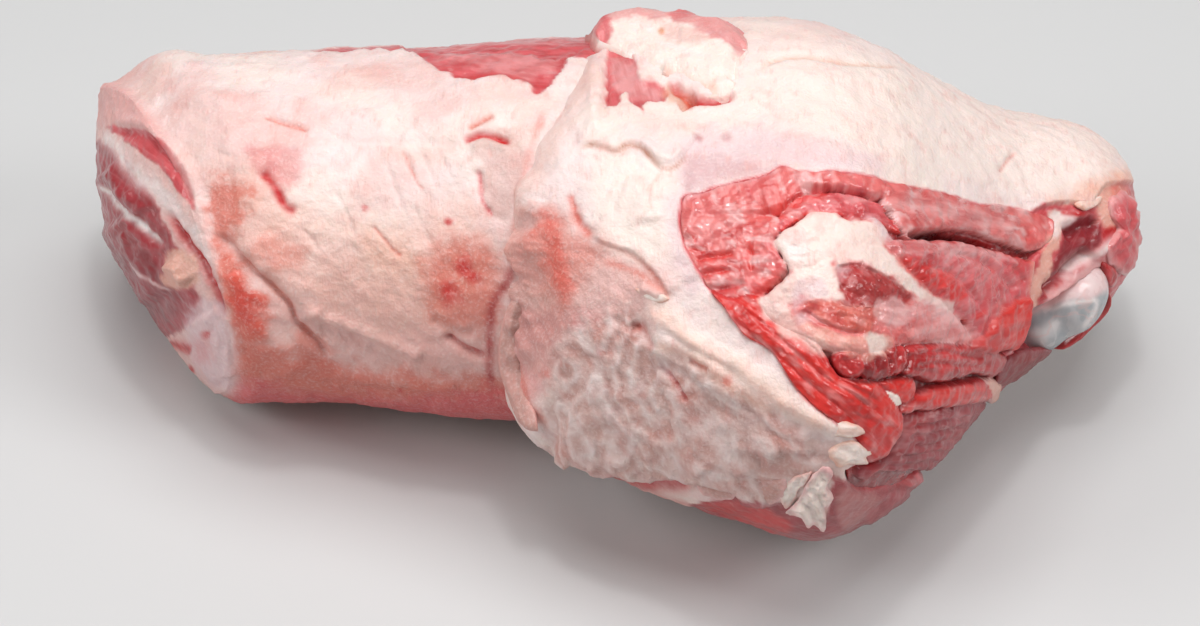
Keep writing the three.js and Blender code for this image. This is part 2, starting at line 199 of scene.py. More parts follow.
def through(knots, values, x):
    """A smooth curve through values at knots: cubic pieces, each knot's slope taken from its neighbours."""
    slopes = np.empty_like(values)
    slopes[1:-1] = (values[2:] - values[:-2]) / (knots[2:] - knots[:-2])
    slopes[0] = (values[1] - values[0]) / (knots[1] - knots[0])
    slopes[-1] = (values[-1] - values[-2]) / (knots[-1] - knots[-2])
    i = np.clip(np.searchsorted(knots, x) - 1, 0, len(knots) - 2)
    span = knots[i + 1] - knots[i]
    t = np.clip((x - knots[i]) / span, 0, 1)
    start = (1 + 2 * t) * (1 - t) ** 2 * values[i] + t * (1 - t) ** 2 * span * slopes[i]
    return start + t * t * (3 - 2 * t) * values[i + 1] + t * t * (t - 1) * span * slopes[i + 1]


def unit(vectors):
    """Vectors of length 1."""
    return vectors / np.linalg.norm(vectors, axis=-1, keepdims=True)


def oval(half_depth, half_height, squareness, sag, angle):
    """Radius of a squarish oval (|cos|/a)^n + (|sin|/b)^n = 1/r^n, with n larger low at the back."""
    n = squareness + sag * smooth(-np.sin(angle), 0, 0.7) * smooth(np.cos(angle), -0.3, 0.4)
    across, up = np.abs(np.cos(angle)) / half_depth, np.abs(np.sin(angle)) / half_height
    return (across ** n + up ** n) ** (-1 / n)


def unevenness(height, length, x, angle):
    """A slow unevenness of a ring: h/2 * (sin(x/length + angle) + cos(3*angle - x/length))."""
    return height / 2 * (np.sin(x / length + angle) + np.cos(3 * angle - x / length))


def rounded(distance, length):
    """A rounded end: (1 - (1 - d/length)^n)^(1/n), 0 at the tip and 1 from length on."""
    share = 1 - np.clip(distance / length, 0, 1)
    return (1 - share ** END_ROUNDNESS) ** (1 / END_ROUNDNESS)


def noise(points, size, seed, octaves=3):
    """Gradient noise, about -1 to 1: seeded slopes at the corners of a cubic lattice of the given size in mm,
    blended by the quintic 6t^5 - 15t^4 + 10t^3, summed over octaves of half the size and half the height."""
    rng = np.random.default_rng(seed)
    order = rng.permutation(256)
    slopes = unit(rng.normal(size=(256, 3)))
    total = np.zeros(points.shape[:-1])
    for k in range(octaves):
        p = points / size * 2 ** k + 17.3 * k
        cell = np.floor(p).astype(int)
        f = p - cell
        w = f ** 3 * (f * (f * 6 - 15) + 10)
        for corner in itertools.product((0, 1), repeat=3):
            c = cell + corner
            h = order[(order[(order[c[..., 0] & 255] + c[..., 1]) & 255] + c[..., 2]) & 255]
            weight = np.where(corner, w, 1 - w).prod(-1)
            total += 0.5 ** k * weight * ((f - corner) * slopes[h]).sum(-1)
    return 1.6 * total


def trail(text, closed=False, steps=6):
    """A smooth line through pixel pairs written as "u v u v ...": a Catmull-Rom curve with steps per span."""
    knots = np.array(text.split(), float).reshape(-1, 2)
    if closed:
        ring = np.concatenate([knots[-1:], knots, knots[:2]])
    else:
        ring = np.concatenate([2 * knots[:1] - knots[1:2], knots, 2 * knots[-1:] - knots[-2:-1]])
    t = (np.arange(steps) / steps)[None, :, None]
    a, b, c, d = (ring[k:len(ring) - 3 + k, None] for k in range(4))
    curve = (b + (c - a) * t / 2 + (a - 2.5 * b + 2 * c - d / 2) * t ** 2
             + (-a / 2 + 1.5 * b - 1.5 * c + d / 2) * t ** 3).reshape(-1, 2)
    return np.concatenate([curve, knots[:1] if closed else knots[-1:]])


def spaced(line, count):
    """Points at equal steps along a closed line."""
    length = np.append(0, np.cumsum(np.linalg.norm(np.diff(line, axis=0), axis=1)))
    stops = np.linspace(0, length[-1], count, endpoint=False)
    return np.stack([np.interp(stops, length, line[:, k]) for k in range(2)], -1)


def tapered(share, taper):
    """1 along a line, falling to 0 over a share of it at both ends."""
    return smooth(share, 0, taper) * (1 - smooth(share, 1 - taper, 1))


def near(places, line, reach):
    """Places within reach of a line: their index, distance, share along it, and side (+1 to the right of its
    way on the picture)."""
    index = np.flatnonzero(((places > line.min(0) - reach) & (places < line.max(0) + reach)).all(1))
    p = places[index][:, None]
    way = np.diff(line, axis=0)
    t = np.clip(((p - line[:-1]) * way).sum(-1) / np.maximum((way ** 2).sum(-1), 1e-9), 0, 1)
    gap = p - (line[:-1] + t[..., None] * way)
    distances = np.sqrt((gap ** 2).sum(-1))
    k = distances.argmin(1)
    row = np.arange(len(index))
    side = np.sign(way[k, 0] * gap[row, k, 1] - way[k, 1] * gap[row, k, 0])
    return index, distances[row, k], (k + t[row, k]) / len(way), side


def within(places, outline, reach):
    """Places in or within reach of a closed outline: their index and signed distance, positive inside."""
    index, distance, _, _ = near(places, outline, reach)
    x, y = places[index].T[..., None]
    a, b = outline[:-1], outline[1:]
    rise = np.where(b[:, 1] == a[:, 1], 1e-9, b[:, 1] - a[:, 1])
    edge_x = a[:, 0] + (y - a[:, 1]) * (b[:, 0] - a[:, 0]) / rise
    crossed = ((a[:, 1] > y) != (b[:, 1] > y)) & (x < edge_x)
    return index, np.where(crossed.sum(1) % 2 == 1, distance, -distance)


def see(points):
    """Pixels of points: offsets from the target, turned by the camera's elevation, over their depth."""
    q = points - TARGET
    up = q[..., 1] * SIN_E + q[..., 2] * COS_E
    depth = DISTANCE + q[..., 1] * COS_E - q[..., 2] * SIN_E
    return FRAME_SIZE / 2 + FOCAL * np.stack([q[..., 0], -up], -1) / depth[..., None]


# The two bases of the joint

def barrel_point(q, angle):
    """The barrel: q runs from 0 in the middle of the cut face to 1 on its rim, then to 2 at the tucked end.
    Each ring is a squarish oval round the sections' middle line, sheared along x so that the cut is slanted."""
    first, last = BARREL_SECTIONS[0, 0], BARREL_SECTIONS[-1, 0]
    on_cap = np.clip(q, 0, 1)
    x = first + (last - first) * np.maximum(q - 1, 0)
    y, z, a, b = (through(BARREL_SECTIONS[:, 0], BARREL_SECTIONS[:, k], x) for k in range(1, 5))
    top = smooth(np.sin(angle), 0.1, 0.8)
    full = smooth(x - first, 0, CUT_EDGE_ROUND + CUT_TOP_ROUND * top)
    edge = 1 - (CUT_EDGE_INSET + CUT_TOP_INSET * top) * (1 - full)
    ends = on_cap * edge * rounded(last - x, BARREL_TUCK)
    uneven = unevenness(BARREL_LUMP, BARREL_LUMP_LENGTH, x, angle)
    radius = ends * (oval(a, b, BARREL_SQUARENESS, BARREL_SAG, angle) + uneven)
    slant = CUT_SLANT * (1 - smooth(x, first, CUT_STRAIGHT_AT))
    across = radius * np.cos(angle)
    bulge = CUT_BULGE * (1 - on_cap ** 2)
    return np.stack([x - slant * across - bulge, y + across, z + radius * np.sin(angle)], -1) + CENTRING


def body_point(q, angle):
    """The body: q runs along x from the collar to the blunt right end. Each ring is a squarish oval, rounded in
    at both ends; the collar's edge is set along x by the angle, so that it laps the barrel at the front."""
    first, last = BODY_SECTIONS[0, 0], BODY_SECTIONS[-1, 0]
    x = first + (last - first) * q
    y, z, a, b = (through(BODY_SECTIONS[:, 0], BODY_SECTIONS[:, k], x) for k in range(1, 5))
    openness = smooth(np.cos(angle - OPEN_ANGLE), -0.1, 0.35)
    ends = rounded(x - first, COLLAR_LIP + COLLAR_BACK_LIP * (1 - openness)) * rounded(last - x, NOSE_LENGTH)
    shift = COLLAR_BACK_SHIFT * (1 - np.cos(angle - COLLAR_FRONT)) / 2
    shift = shift + ROLL_SHIFT * np.exp(-((angle - ROLL_ANGLE) / ROLL_SPREAD) ** 2)
    shift = shift + COLLAR_WAVE * np.sin(COLLAR_WAVE_COUNT * angle + COLLAR_WAVE_START)
    shift = shift * ends * (1 - smooth(x, first, first + COLLAR_REACH))
    uneven = unevenness(BODY_LUMP, BODY_LUMP_LENGTH, x, angle)
    radius = ends * (oval(a, b, BODY_SQUARENESS, BODY_SAG, angle) + uneven)
    return np.stack([x + shift, y + radius * np.cos(angle), z + radius * np.sin(angle)], -1) + CENTRING


def outward(point, q, angle):
    """Outward unit normals of a base: the cross product of its changes with the angle and with q."""
    dq, da = 2e-3, 1e-2
    along = point(q + dq, angle) - point(q - dq, angle)
    normal = np.cross(point(q, angle + da) - point(q, angle - da), along)
    length = np.linalg.norm(normal, axis=-1, keepdims=True)
    return np.where(length > 1e-7, normal / np.maximum(length, 1e-9), [1.0, 0.0, 0.0])


# Features. On the open side they are placed by pixel; on the back by mm along x and mm round the joint.
# Ridge: a bell-shaped ridge or, with a negative height in mm, a groove.
# Step: a sheet's edge, raised on one side (-1 is left of the line's way) and fading over a width.
# Zone: an area with a tone; soft and ragged edges; sunk in mm; lean and wet from 0 to 1; grain in degrees.
# Line: a painted line. Spot: a painted dot.
# Bulge: a muscle or a lump of fat of a patch; height in mm, widths over which it rounds and fringes, share of pale
# glints on it.
# Flap: a flat lump with an outline on the picture; rise in mm; grain in degrees; its free end lies towards a
# direction in degrees on the picture and lifts off by some mm.
# Roll: a bundle along a line, with half widths along it.
Ridge = namedtuple("Ridge", "name line width height")
Step = namedtuple("Step", "name line side edge fade height")
Zone = namedtuple("Zone", "name outline tone strength soft ragged sunk lean wet grain inset",
                  defaults=(0, 0, FAT_WETNESS, 0, 0))
Line = namedtuple("Line", "name line tone width strength lean", defaults=(0,))
Spot = namedtuple("Spot", "name u v radius tone strength")
Bulge = namedtuple("Bulge", "name outline rise round tone edge grain veil fringe lean wet ragged",
                   defaults=(0.5, 4, 1, 0.7, 1.6))
Flap = namedtuple("Flap", "name outline rise tone edge grain lean wet lump lift free",
                  defaults=(0, 0.35, 0.4, 0, 90))
Roll = namedtuple("Roll", "name line widths rise tone edge lean wet lump", defaults=(0.4, 0.6, 0.3))

BARREL_SHAPES = [
    Ridge("fold from the cut end", "212 230 232 248 252 268 275 290 290 306 296 320 318 343 334 358", 4.5, -1.9),
    Ridge("roll below the fold", "214 258 238 288 258 318 280 348 302 376", 16, 1.9),
    Ridge("roll above the fold", "236 238 268 264 300 290 322 318", 13, 1.0),
    Ridge("ridge along the underside", "299 306 327 317 349 323 377 337 411 351 422 357", 6, 1.2),
    Ridge("hollow under the ridge", "316 328 346 338 380 352 412 366", 7, -1.1),
    Ridge("low fold", "330 372 370 380 420 384 462 392", 8, 0.9),
    Ridge("crease before the collar", "442 334 460 346 473 354 486 358", 4, -1.9),
    Ridge("small crease above it", "430 318 452 330 476 336", 5, -0.7),
    Ridge("seam along the top", "145 110 200 109 251 113", 3, -0.35),
    Ridge("cut along the seam", "263 117 285 124 310 130", 3, -1.0),
    Ridge("seam past the cut", "310 130 333 136 361 142 410 143 467 142", 4, -0.5),
    Ridge("swell above the seam", "160 98 250 100 320 114 400 124 460 128", 12, 0.6),
    Ridge("faint seam", "212 152 232 155 262 146 290 141 324 135", 4, -0.45),
    Ridge("swell under the faint seam", "230 164 262 158 300 152 340 150", 8, 0.4),
    Ridge("nick", "260 169 274 186 282 202 296 214", 4.5, -1.1),
    Ridge("slit", "462 141 484 134 512 142", 3, -1.1),
    Ridge("lip of the slit", "470 149 490 144 510 150", 4, 0.6),
    Ridge("small slit", "467 129 495 115", 3, -0.7),
    Ridge("long scratch", "403 150 410 168 418 184 425 190", 2.2, -0.5),
    Ridge("long scratch", "372 224 384 238 392 248 402 258", 2.2, -0.5),
    *(Ridge("scratch", *row) for row in (
        ("420 150 430 172 438 192", 2.4, -0.4), ("436 148 446 166 454 182", 2.4, -0.4),
        ("385 160 396 190 404 214", 2.4, -0.4), ("412 205 422 226 432 246", 2.4, -0.4),
        ("335 190 346 214 354 236", 2.4, -0.4), ("300 228 312 240 318 252", 2.6, -0.4))),
    Ridge("flaky edge of the grainy patch", "478 168 480 186 482 200 492 218", 3, -0.9),
    Zone("upper corner of the cut", "70 100 84 62 130 40 190 36 188 62 140 76 112 94", None, 1, 16, 0, -2.4),
    Ridge("rim of the cut", "105 120 140 126 186 165 205 225 227 300 242 350 247 393", 7, 1.0),
    Ridge("bed of the upper lean strip", "112 130 140 134 166 156 186 188 192 206", 6, -1.2),
    Ridge("bed of the dark strip", "165 209 187 241 201 263 216 289 229 318", 4, -1.8),
    Ridge("upper muscle of the cut", "103 170 122 190 142 218", 12, 1.5),
    Ridge("lower muscle of the cut", "110 220 135 258 162 300", 16, 1.7),
    Ridge("fascia groove", "102 188 130 215 165 248", 4, -1.3),
    Ridge("fat lump of the cut", "170 260 180 272 190 282", 8, 2.0),
    Ridge("white lobe of the cut", "200 312 216 345 232 380", 14, 1.5),
]
BARREL_PAINT = [
    Zone("rosy lower half", "205 250 300 268 400 262 500 232 512 430 230 430", "pink", 0.65, 40, 12),
    Zone("peach middle", "225 165 300 200 380 215 470 200 480 300 400 330 300 300 230 240", "peach", 0.45, 30, 10),
    Zone("warm upper rim", "96 72 130 64 170 70 166 96 130 104 100 100", "salmon", 0.25, 12, 10),
    Zone("warm patch by the cut", "205 185 228 180 252 186 244 205 236 232 212 234", "salmon", 0.8, 13, 12),
    Zone("warm patch under the nick", "258 240 282 236 304 246 300 262 268 270", "salmon", 0.45, 11, 6),
    Zone("warm middle", "360 236 400 240 418 256 412 274 372 268", "peach", 0.7, 16, 6),
    Zone("warm fold", "216 244 236 262 258 290 268 322 256 346 232 330 220 286", "salmon", 0.85, 11, 10),
    Zone("red of the fold", "236 276 258 290 266 316 252 334 236 312", "coral", 0.85, 9, 8),
    Zone("deep red of the fold", "240 284 254 292 260 314 250 324 240 306", "blood", 0.3, 6, 5),
    Zone("warm along the fold", "300 325 330 350 336 368 310 366 292 346", "salmon", 0.5, 10, 5),
    # Salmon fat of the underside, strengthened as painted shade.
    Zone("warm underside", "232 345 270 338 330 362 420 376 500 380 505 425 420 420 330 415 232 410", "salmon",
         0.85, 13, 8),
    Zone("grainy patch by the collar", "478 140 500 128 524 138 518 190 508 222 488 216 480 180", "grey", 0.5, 9, 8,
         0.2),
    Zone("warm before the collar", "425 262 460 240 492 256 496 320 462 330 430 312", "salmon", 0.7, 16, 7),
    Zone("smear by the nick", "246 146 268 152 276 172 262 174 250 164", "rose", 0.35, 6, 4),
    Zone("bruise by the nick", "268 150 295 150 306 166 298 184 274 182", "rose", 0.4, 8, 4),
    Zone("muscle on the top", "400 44 420 54 431 60 448 72 470 77 487 74 513 76 527 79 535 93 552 81 566 62 577 48"
         " 596 38 600 5 500 5 400 20", "rose", 1, 2, 3, 1.0, 1, 0.5, 8),
    Zone("veil of the top muscle", "424 48 480 66 530 78 566 52 586 30 500 16 430 24", "pale", 0.45, 6, 9, 0, 1,
         0.4, 8),
    Line("dark edge of the top muscle", "448 70 470 75 487 72 513 74 530 84", "lean", 3, 0.6, 1),
    Line("nick", "260 169 274 186 282 202 296 214", "blood", 4.5, 0.95, 1),
    Line("slit", "462 141 484 134 512 142", "blood", 3.2, 0.95, 1),
    Line("small slit", "467 129 495 115", "salmon", 3, 0.8),
    Line("cut along the seam", "263 117 285 124 310 130", "salmon", 2, 0.6),
    Line("crease before the collar", "442 334 460 346 473 354 486 358", "blood", 2.2, 0.5),
    Line("fold from the cut end", "232 248 252 268 275 290 290 306 296 320 318 343", "salmon", 3, 0.5),
    Line("long scratch", "403 150 410 168 418 184 425 190", "salmon", 1.6, 0.5),
    Line("long scratch", "372 224 384 238 392 248 402 258", "salmon", 1.8, 0.6),
    Line("flaky edge of the grainy patch", "478 168 480 186 482 200 492 218", "rose", 2, 0.8),
    # Painted shade in the crease where the collar laps the barrel, pinkish above and dark below.
    Line("crease of the collar", "546 108 532 142 522 182 515 226 510 270", "salmon", 4, 0.45),
    Line("low crease of the collar", "511 262 504 284 494 304 490 334 488 364 492 394", "brown", 5, 0.75),
    Zone("shade of the underside", "240 378 300 392 400 398 500 392 505 440 240 440", "rose", 0.85, 10, 6),
    *(Spot("clot", *row) for row in (
        (448, 222, 5, "blood", 0.8), (365, 208, 4, "blood", 0.5), (464, 267, 11, "blood", 0.75),
        (473, 276, 8, "blood", 0.7), (449, 292, 13, "blood", 0.7), (228, 258, 5, "salmon", 0.8),
        (400, 390, 4, "blood", 0.5))),
]
CUT_FACE_PAINT = [
    Zone("warm upper edge of the cut", "80 60 140 60 190 140 150 136 112 124 80 130", "pale", 0.75, 8, 4),
    Zone("salmon upper edge of the cut", "84 70 120 76 150 110 170 140 130 124 96 124", "salmon", 0.2, 10, 9),
    Zone("lean of the cut", "80 150 102 142 128 160 152 196 170 232 192 276 200 310 190 326 160 338 130 330 90 260",
         "mauve", 1, 2.5, 3, 0, 1, 0.6, 55),
    Zone("deep lean of the cut", "100 214 118 240 138 246 160 266 180 298 174 320 154 322 136 306 112 262", "grape",
         0.7, 6, 4, 0, 1, 0.6, 55),
    Line("fat band", "98 130 118 150 150 186 178 214 200 242 216 280", "fat", 8, 0.95),
    Zone("upper strip of lean", "108 127 125 128 145 130 168 148 188 170 196 210 178 190 162 170 133 146", "rose",
         1, 1.6, 2, 0, 1, 0.6, 45),
    Line("dark strip of lean", "165 209 187 241 201 263 216 289 229 318", "lean", 5, 1, 1),
    Line("fascia", "98 182 115 204 136 222 165 248", "white", 2.6, 0.95),
    Line("thin fascia", "130 258 150 275 176 292", "white", 1.6, 0.6),
    Zone("fat lump", "165 256 180 250 196 262 193 288 170 284", "peach", 0.9, 3, 3),
    Zone("white lobe", "190 308 215 300 242 340 250 396 215 388 186 348", "lilac", 0.75, 6, 4),
    Zone("blush on the white lobe", "196 340 212 338 214 356 198 360", "rose", 0.35, 8, 3),
    Line("clot", "168 343 180 346 193 350", "blood", 5, 0.9, 1),
    Spot("clot", 210, 332, 5, "blood", 0.7),
    Spot("clot", 191, 370, 5, "blood", 0.85),
]
BONE_PAINT = [
    Zone("membrane over the bone", "1030 312 1050 296 1076 276 1106 250 1120 280 1100 296 1086 300 1064 302 1044"
         " 310", "pale", 0.85, 4, 4),
    # A painted highlight on the bone's cap.
    Zone("highlight of the bone", "1030 332 1046 322 1060 322 1052 338 1038 344", "white", 0.55, 6, 4),
    Line("rim of the cap", "1044 311 1066 304 1088 301 1097 302 1092 316 1078 332", "white", 2.4, 0.8),
    Line("red by the bone", "1040 306 1056 296 1074 282", "rose", 2.4, 0.6),
]
BARREL_BACK = [
    Ridge("long fold of the back", "-96 18 -70 24 -44 16 -20 20 6 12", 9, 1.2),
    Ridge("groove under it", "-84 8 -64 12 -46 4 -30 6", 3, -0.9),
    Ridge("short groove", "-22 2 -8 8 6 2", 2.5, -0.8),
    Ridge("swell", "-92 -14 -60 -8 -30 -18", 14, 1.2),
    Ridge("crease", "-76 -28 -60 -22 -44 -30", 2.5, -0.9),
    Ridge("crease", "-34 -36 -18 -30 0 -38", 2.5, -1.0),
    Ridge("cut", "-66 34 -60 28 -58 20", 1.4, -0.7),
    Ridge("dent", "-30 -8 -18 -14 -8 -10", 6, -1.0),
]
BARREL_BACK_PAINT = [
    Zone("lean along the top", "-78 45 -62 48 -48 51 -30 58 -10 64 8 60 8 42 -4 31 -18 35 -34 26 -48 33 -62 38 -76"
         " 42", "rose", 0.95, 1.2, 2.4, 0.6, 1, 0.5, 5),
    Zone("veil on the lean", "-44 44 -20 48 0 42 -10 36 -34 34", "pale", 0.4, 4, 4, 0, 0.8, 0.5, 5),
    Zone("warm back", "-100 -30 -60 -10 -30 -28 -50 -56 -95 -56", "salmon", 0.4, 10, 5),
    Zone("blush", "-74 8 -52 16 -36 8 -50 -2", "peach", 0.6, 7, 4),
    Zone("pale membrane", "-30 -10 0 0 14 20 -10 26 -40 12", "lilac", 0.45, 7, 4),
    Zone("low lean", "-16 -40 4 -34 14 -44 2 -54 -12 -50", "rose", 0.8, 1.5, 2.2, 0.5, 1, 0.5, 10),
    Line("groove of the back", "-84 8 -64 12 -46 4 -30 6", "salmon", 1.4, 0.4),
    Line("cut", "-66 34 -60 28 -58 20", "salmon", 1.2, 0.6),
    Spot("clot", -82, 30, 3, "blood", 0.35),
    Spot("clot", -40, -12, 4, "blood", 0.3),
]

WINDOW = ("680 198 702 191 721 184 762 174 782 164 803 170 839 169 872 175 895 182 938 190 979 203 1002 204 1032"
          " 211 1055 219 1053 240 1036 264 1029 303 1026 323 1019 339 1006 362 1001 388 987 432 957 464 908 490 862"
          " 494 852 474 858 446 838 426 813 406 794 386 780 364 768 350 744 336 724 310 708 291 693 266 680 239")
WINDOW_MIDDLE = (882.0, 300.0)
BONE_OPENING = "1016 350 1020 330 1034 314 1052 302 1076 288 1104 268 1108 288 1096 314 1078 336 1048 354"
APRON = ("556 350 600 318 640 310 660 350 700 366 745 392 790 424 828 446 838 480 790 504 740 489 690 482 640 478"
         " 570 460 548 440")
BODY_SHAPES = [
    Zone("window of lean", WINDOW, None, 1, 2.5, 1.0, 6.0, 0, 0, 0, 5),
    Zone("opening for the bone", BONE_OPENING, None, 1, 3, 1.5, 6.0),
    Ridge("lip of the collar", "530 166 526 215 524 255 522 290 516 325 508 352", 15, 3.6),
    Ridge("low lip of the collar", "526 226 523 262 520 300 517 336 520 366", 14, 2.4),
    Ridge("pink groove of the collar", "570 192 574 206 579 222 592 238", 4.5, -0.7),
    Step("fold of the collar", "592 238 630 251 654 270 672 296", -1, 2.2, 36, 1.0),
    Ridge("shred over the pit", "640 290 652 292 664 298", 5, 1.6),
    Ridge("strap", "597 52 595 95 594 138", 8, 1.2),
    Ridge("groove beside the strap", "607 60 606 95 604 120", 3, -1.4),
    Step("torn edge of the fat sheet", "571 147 594 143 616 149 627 143 640 145 650 153 662 164 672 165 682 157 690"
         " 147 700 133", -1, 1.1, 45, 0.9),
    Ridge("curl of the torn edge", "640 140 652 148 664 158 674 158 684 148", 5, 0.5),
    Ridge("shade under the torn edge", "575 153 594 149 616 155 627 149 640 151 649 159 661 170 672 171 683 163 692"
          " 153", 2.6, -0.6),
    Ridge("dent of the fat", "630 164 648 168 660 176", 9, -0.8),
    Ridge("swell of the fat", "620 190 645 200 650 225", 18, 1.0),
    Ridge("gap under the tongue", "664 82 680 91 694 97 704 100 714 100 724 97 736 92", 5, -2.2),
    Ridge("hole by the tongue", "678 105 688 101 697 97", 5, -2.8),
    Ridge("seam over the top", "758 65 782 57 813 57 861 64 906 67", 3.5, -0.9),
    Ridge("swell over the top", "770 76 820 72 880 80 930 92", 14, 0.8),
    Ridge("small seam", "999 172 1008 160 1016 152", 3, -0.7),
    Ridge("rim of the fat apron", "640 306 665 320 690 340 726 362 762 382 787 402 811 416 828 424 850 430", 11,
          1.7),
    Ridge("second rim", "650 336 690 352 722 374 752 392 780 414", 6, 0.7),
    Ridge("groove of the rim", "664 330 690 346 720 362 742 376", 3, -0.8),
    Step("edge of the rim", "636 346 680 366 715 388 750 406 780 428 812 444", -1, 3, 24, 1.2),
    Ridge("crack in the apron", "658 364 668 376 678 388 687 403", 2.6, -1.5),
    Ridge("small crack", "690 360 702 366 712 370", 2.6, -0.9),
    Ridge("pit of the apron", "632 322 644 334 652 352", 6, -2.0),
    Step("lower edge of the apron", "554 453 568 458 600 468 646 479 699 482 733 490 745 502 782 507", -1, 2.5, 50,
         2.0),
    *(Step("edge of a leaf of the apron", *row) for row in (
        ("590 462 610 450 640 462 660 474", 1, 2, 16, 1.2), ("698 476 716 462 742 470 762 468", -1, 2, 18, 1.1),
        ("730 444 762 452 790 450 812 458", -1, 2, 18, 1.1))),
    Ridge("knob of the collar", "552 446 562 452 574 456", 7, 1.4),
    Ridge("red under the apron", "610 470 640 480 690 484", 5, -1.4),
    Ridge("hollow under the lean", "853 468 860 482 884 487 912 484", 6, -5.0),
    Ridge("lip under the hollow", "912 490 893 508 864 527", 8, 1.2),
    Ridge("end recess", "1064 236 1085 226 1098 230", 9, -3.0),
    Ridge("end recess below", "1092 250 1070 270 1044 296", 7, -3.4),
    Ridge("tendon of the end", "1121 236 1102 250 1086 262 1070 274", 5, 0.9),
    Step("fat edge at the right end", "1030 214 1047 205 1074 203 1090 206 1101 187 1112 182 1134 184", -1, 2, 40,
         1.3),
]
